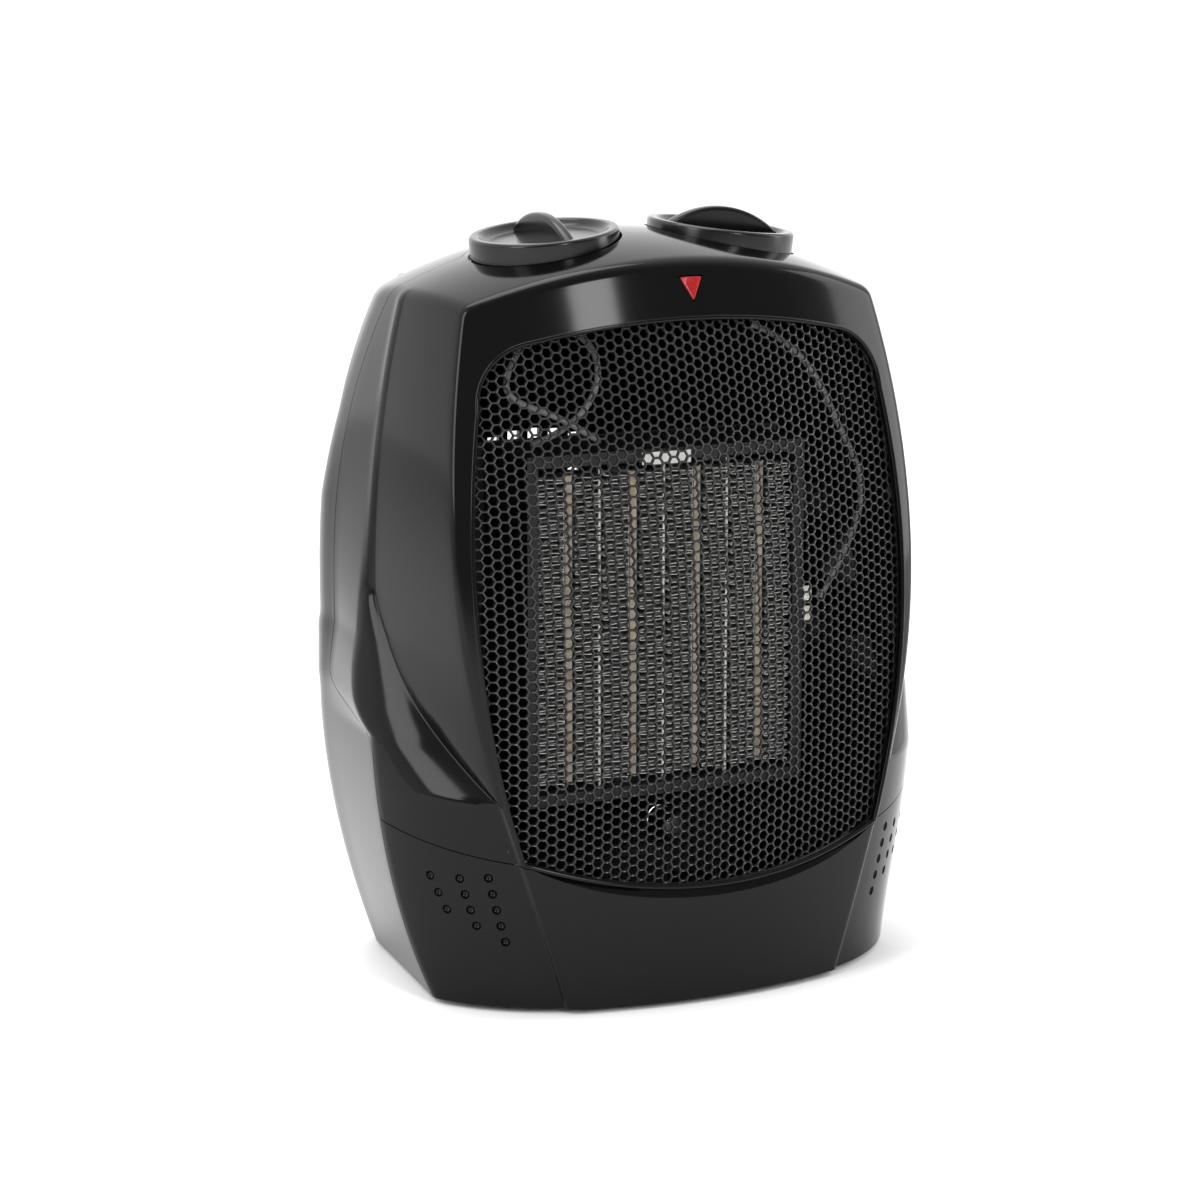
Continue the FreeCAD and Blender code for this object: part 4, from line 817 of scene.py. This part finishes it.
def make_fins():
    """Corrugated aluminium strips either side of every bar."""
    points, faces = [], []
    module = 2 * BLOCK_HALF / BARS
    wide = (module - BAR_WIDE - 2 * PLATE_THICK) / 2
    front, back = BLOCK_FRONT + 0.6, BLOCK_FRONT + BLOCK_DEEP - 1
    for index in range(BARS):
        left = -BLOCK_HALF + index * module
        for start in (left + PLATE_THICK / 2, left + module / 2 + BAR_WIDE / 2 + PLATE_THICK / 2):
            low, high = start + 0.15, start + wide - 0.15
            folds = int((BLOCK_HIGH - BLOCK_LOW - 5) / FOLD)
            line = []
            for fold in range(folds + 1):
                z = BLOCK_LOW + 2.5 + fold * FOLD
                x, turn = (low, 1) if fold % 2 else (high, -1)
                line += [(x + turn * 0.5, z - 0.4), (x, z - 0.2), (x, z + 0.2), (x + turn * 0.5, z + 0.4)]
            first = len(points)
            for x, z in line:
                points += [(x, front, z - SHEET_HALF), (x, front, z + SHEET_HALF),
                           (x, back, z + SHEET_HALF), (x, back, z - SHEET_HALF)]
            for step in range(len(line) - 1):
                faces += band(first + 4 * step, first + 4 * step + 4, 4)
    piece = mesh_piece("heater_fins_folded", points, faces, smooth=False)
    tidy_normals(piece)
    return piece


def box_faces(points, faces, low, high):
    """Adds a plain box to a list of points and faces."""
    first = len(points)
    points += [(x, y, z) for x in (low[0], high[0]) for y in (low[1], high[1]) for z in (low[2], high[2])]
    faces += [tuple(first + k for k in face) for face in
              ((0, 1, 3, 2), (4, 6, 7, 5), (0, 4, 5, 1), (2, 3, 7, 6), (0, 2, 6, 4), (1, 5, 7, 3))]


def make_bars():
    """Ceramic tiles stacked in every bar, between two thin electrode strips."""
    tiles, tile_faces, strips, strip_faces = [], [], [], []
    module = 2 * BLOCK_HALF / BARS
    for index in range(BARS):
        middle = -BLOCK_HALF + (index + 0.5) * module
        for tile in range(TILES):
            low = BLOCK_LOW + 3.2 + tile * TILE_PITCH
            box_faces(tiles, tile_faces, (middle - 1.15, BLOCK_FRONT + 1.4, low),
                      (middle + 1.15, BLOCK_FRONT + BLOCK_DEEP - 2, low + TILE_PITCH - 0.5))
        for side in (-1, 1):
            near, far = sorted((middle + side * 1.2, middle + side * 1.5))
            box_faces(strips, strip_faces, (near, BLOCK_FRONT + 2, BLOCK_LOW + 3),
                      (far, BLOCK_FRONT + BLOCK_DEEP - 2, BLOCK_HIGH - 3))
    bars = mesh_piece("ptc_tiles", tiles, tile_faces, smooth=False)
    leads = mesh_piece("ptc_strips", strips, strip_faces, smooth=False)
    tidy_normals(bars)
    tidy_normals(leads)
    return bars, leads


# ------------------------------------------------------------------ knobs
def lathe(name, profile, count=96):
    """Turned solid about its own Z from (radius, height) pairs that start and end on the axis."""
    points, faces = [(0.0, 0.0, profile[0][1])], []
    rings = profile[1:-1]
    for radius, z in rings:
        points += circle(radius, z, count)
    points.append((0.0, 0.0, profile[-1][1]))
    last = len(points) - 1
    for i in range(count):
        n = (i + 1) % count
        faces.append((0, 1 + n, 1 + i))
        faces.append((last, 1 + (len(rings) - 1) * count + i, 1 + (len(rings) - 1) * count + n))
        for ring in range(len(rings) - 1):
            a, b = 1 + ring * count, 1 + (ring + 1) * count
            faces.append((a + i, a + n, b + n, b + i))
    piece = mesh_piece(name, points, faces)
    tidy_normals(piece)
    return piece


def rounded(profile, radii, steps=5):
    """Profile with its corners rounded; one radius for every inner corner."""
    out = [profile[0]]
    for before, corner, after, radius in zip(profile, profile[1:], profile[2:], radii):
        if radius <= 0:
            out.append(corner)
            continue
        here = Vector(corner)
        to_before, to_after = Vector(before) - here, Vector(after) - here
        start = here + to_before * min(radius / to_before.length, 0.48)
        end = here + to_after * min(radius / to_after.length, 0.48)
        out += [tuple(bend(start, here, end, step / steps)) for step in range(steps + 1)]
    return out + [profile[-1]]


DISH, GRIP_RADIUS, GRIP_RISE, GRIP_THICK = 2.5, 34.0, 6.0, 4.0


def make_knob(name, side, turn):
    """Dished disc with a half-moon grip across it, in the knob's own frame, then put in place."""
    r = KNOB_RADIUS
    profile = [(0, -DISH), (r - 5.5, -DISH), (r - 3.2, -0.25), (r - 2.6, 0.0), (r - 0.7, 0.0), (r, -0.7),
               (r, -KNOB_DEEP), (r - 2.0, -KNOB_DEEP), (r - 2.0, -5.0), (6.5, -5.0), (6.5, -5.7), (0, -5.7)]
    radii = [2.0, 0.5, 0.4, 0.35, 0.35, 0.3, 0.3, 0.3, 0.3, 0.3]
    disc = lathe(name, rounded(profile, radii))
    centre_z = GRIP_RISE - GRIP_RADIUS
    foot = -DISH - 0.4
    half = math.sqrt(GRIP_RADIUS ** 2 - (foot - centre_z) ** 2)
    stations, around = 40, 12
    points, faces = [], []
    for station in range(stations + 1):
        x = half * 0.9995 * math.sin((station / stations - 0.5) * math.pi)
        top = centre_z + math.sqrt(GRIP_RADIUS ** 2 - x * x)
        tall = top - foot
        round_off = min(1.5, tall * 0.6)
        wide = GRIP_THICK / 2
        section = [(-wide, foot)]
        for step in range(around + 1):
            angle = math.pi * step / around
            y = -math.cos(angle) * wide
            lift = math.sin(angle)
            section.append((math.copysign(abs(y / wide) ** 0.55, y) * wide,
                            top - round_off * (1 - lift ** 0.8)))
        section.append((wide, foot))
        points += [(x, y, z) for y, z in section]
    size = around + 3
    for station in range(stations):
        a, b = station * size, (station + 1) * size
        faces += [(a + k, b + k, b + (k + 1) % size, a + (k + 1) % size) for k in range(size)]
    faces += [tuple(range(size)), tuple(reversed(range(stations * size, (stations + 1) * size)))]
    grip = mesh_piece(name + "_grip", points, faces)
    tidy_normals(grip)
    disc = combine(disc, grip, "UNION")
    place = knob_frame(side) @ Matrix.Rotation(math.radians(turn), 4, "Z")
    disc.data.transform(Matrix.Scale(MM, 4) @ place @ Matrix.Scale(1 / MM, 4))
    shade(disc, 38)
    return disc


# ------------------------------------------------------------------ pilot lens
def make_lens():
    """Inverted triangle set into the top of the bezel, its edges rounded over."""
    half, high = LENS_HALF - 0.25, LENS_HIGH - 0.5
    corners = [Vector((-half, high / 2)), Vector((0, -high / 2)), Vector((half, high / 2))]

    def outline(shrink, soft):
        centre = Vector((0, high * 0.13))
        line = []
        for index, corner in enumerate(corners):
            here = corner + (centre - corner).normalized() * shrink
            before = corners[index - 1] + (centre - corners[index - 1]).normalized() * shrink
            after = corners[(index + 1) % 3] + (centre - corners[(index + 1) % 3]).normalized() * shrink
            start = here + (before - here).normalized() * soft
            end = here + (after - here).normalized() * soft
            line += [bend(start, here, end, step / 5) for step in range(6)]
        return line

    points, faces = [], []
    rings = [(0.0, -3.5), (0.0, 0.0), (0.12, 0.25), (0.5, 0.35)]
    for shrink, level in rings:
        points += [tuple(lens_frame() @ Vector((p.x, p.y, level))) for p in outline(shrink, 0.9)]
    count = 18
    for ring in range(3):
        faces += band(ring * count, (ring + 1) * count, count)
    faces += [tuple(reversed(range(count))), tuple(range(3 * count, 4 * count))]
    piece = mesh_piece("pilot_lens", points, faces, sharp_angle=50)
    tidy_normals(piece)
    return piece


# ------------------------------------------------------------------ studio
LIT_POINT = Vector((0, 0, 0.13))


def area_light(name, place, wide, tall, power):
    """Soft rectangular light aimed at the middle of the heater."""
    data = bpy.data.lights.new(name, "AREA")
    data.energy = power
    data.shape = "RECTANGLE"
    data.size = wide
    data.size_y = tall
    lamp = bpy.data.objects.new(name, data)
    lamp.location = place
    lamp.rotation_euler = (LIT_POINT - Vector(place)).to_track_quat("-Z", "Y").to_euler()
    bpy.context.scene.collection.objects.link(lamp)


def make_studio():
    """Pale floor that runs to a pale surround, with large soft lights."""
    scene = bpy.context.scene
    scene.view_settings.view_transform = "Standard"
    world = bpy.data.worlds.new("studio")
    scene.world = world
    world.use_nodes = True
    background = world.node_tree.nodes["Background"]
    background.inputs["Color"].default_value = (1.0, 1.0, 1.0, 1.0)
    direction = world.node_tree.nodes.new("ShaderNodeTexCoord")
    split = world.node_tree.nodes.new("ShaderNodeSeparateXYZ")
    fade = world.node_tree.nodes.new("ShaderNodeMapRange")
    for socket, value in (("From Min", -0.55), ("From Max", 0.1), ("To Min", 0.35), ("To Max", 1.75)):
        fade.inputs[socket].default_value = value
    world.node_tree.links.new(direction.outputs["Generated"], split.inputs["Vector"])
    world.node_tree.links.new(split.outputs["Y"], fade.inputs["Value"])
    world.node_tree.links.new(fade.outputs["Result"], background.inputs["Strength"])
    floor_mesh = bpy.data.meshes.new("floor")
    reach = 6.0
    floor_mesh.from_pydata([(-reach, -reach, 0), (reach, -reach, 0), (reach, reach, 0), (-reach, reach, 0)],
                           [], [(0, 1, 2, 3)])
    floor = link("floor", floor_mesh)
    paint(floor, satin(new_material("floor_paint", (0.9, 0.9, 0.9), 0.9), 0.1))
    area_light("key_left", (-1.3, -0.5, 0.9), 0.5, 1.3, 14.0)
    area_light("fill_front", (0.15, -1.9, 1.1), 0.35, 0.8, 16.0)
    area_light("edge_right", (1.5, -0.4, 0.6), 0.5, 1.2, 8.0)
    area_light("overhead", (-0.1, 0.3, 1.6), 0.9, 0.9, 12.0)


# ------------------------------------------------------------------ assembly
def carry(piece, body, slot_name, replaced, materials):
    """Gives a visual piece its finish, fixes it to its body and hides the CAD node it stands for."""
    paint(piece, materials[slot_name])
    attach(piece, body)
    if replaced:
        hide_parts(replaced)


REAR_SLOT = next(part["material_slot"] for part in frame["record"]["subparts"]
                 if part["node"] == "rear_housing")


def main():
    materials = make_materials()
    for part in frame["record"]["subparts"]:
        paint(NODES[part["node"]], materials[part["material_slot"]])
    front, lower, rear = make_shells()
    carry(front, "casing", "gloss_shell", "front_housing", materials)
    carry(lower, "casing", "gloss_shell", "lower_front_cover", materials)
    carry(rear, "casing", REAR_SLOT, "rear_housing", materials)
    carry(make_lip(), "casing", "gloss_shell", "front_housing", materials)
    carry(make_grille(), "casing", "grille_mesh", "front_grille", materials)
    carry(make_grille_rim(), "casing", "grille_mesh", "front_grille", materials)
    carry(make_fins(), "casing", "fin_aluminium", "heater_fins", materials)
    tiles, strips = make_bars()
    carry(tiles, "casing", "ptc_ceramic", "ptc_bars", materials)
    carry(strips, "casing", "fin_aluminium", "ptc_bars", materials)
    carry(make_lens(), "casing", "red_lens", "indicator_lens", materials)
    carry(make_knob("mode_knob_disc", -1, 90.0), "mode_control", "knob_plastic", "mode_knob", materials)
    carry(make_knob("thermostat_knob_disc", 1, 0.0), "thermostat_control", "knob_plastic", "thermostat_knob",
          materials)
    make_studio()


main()
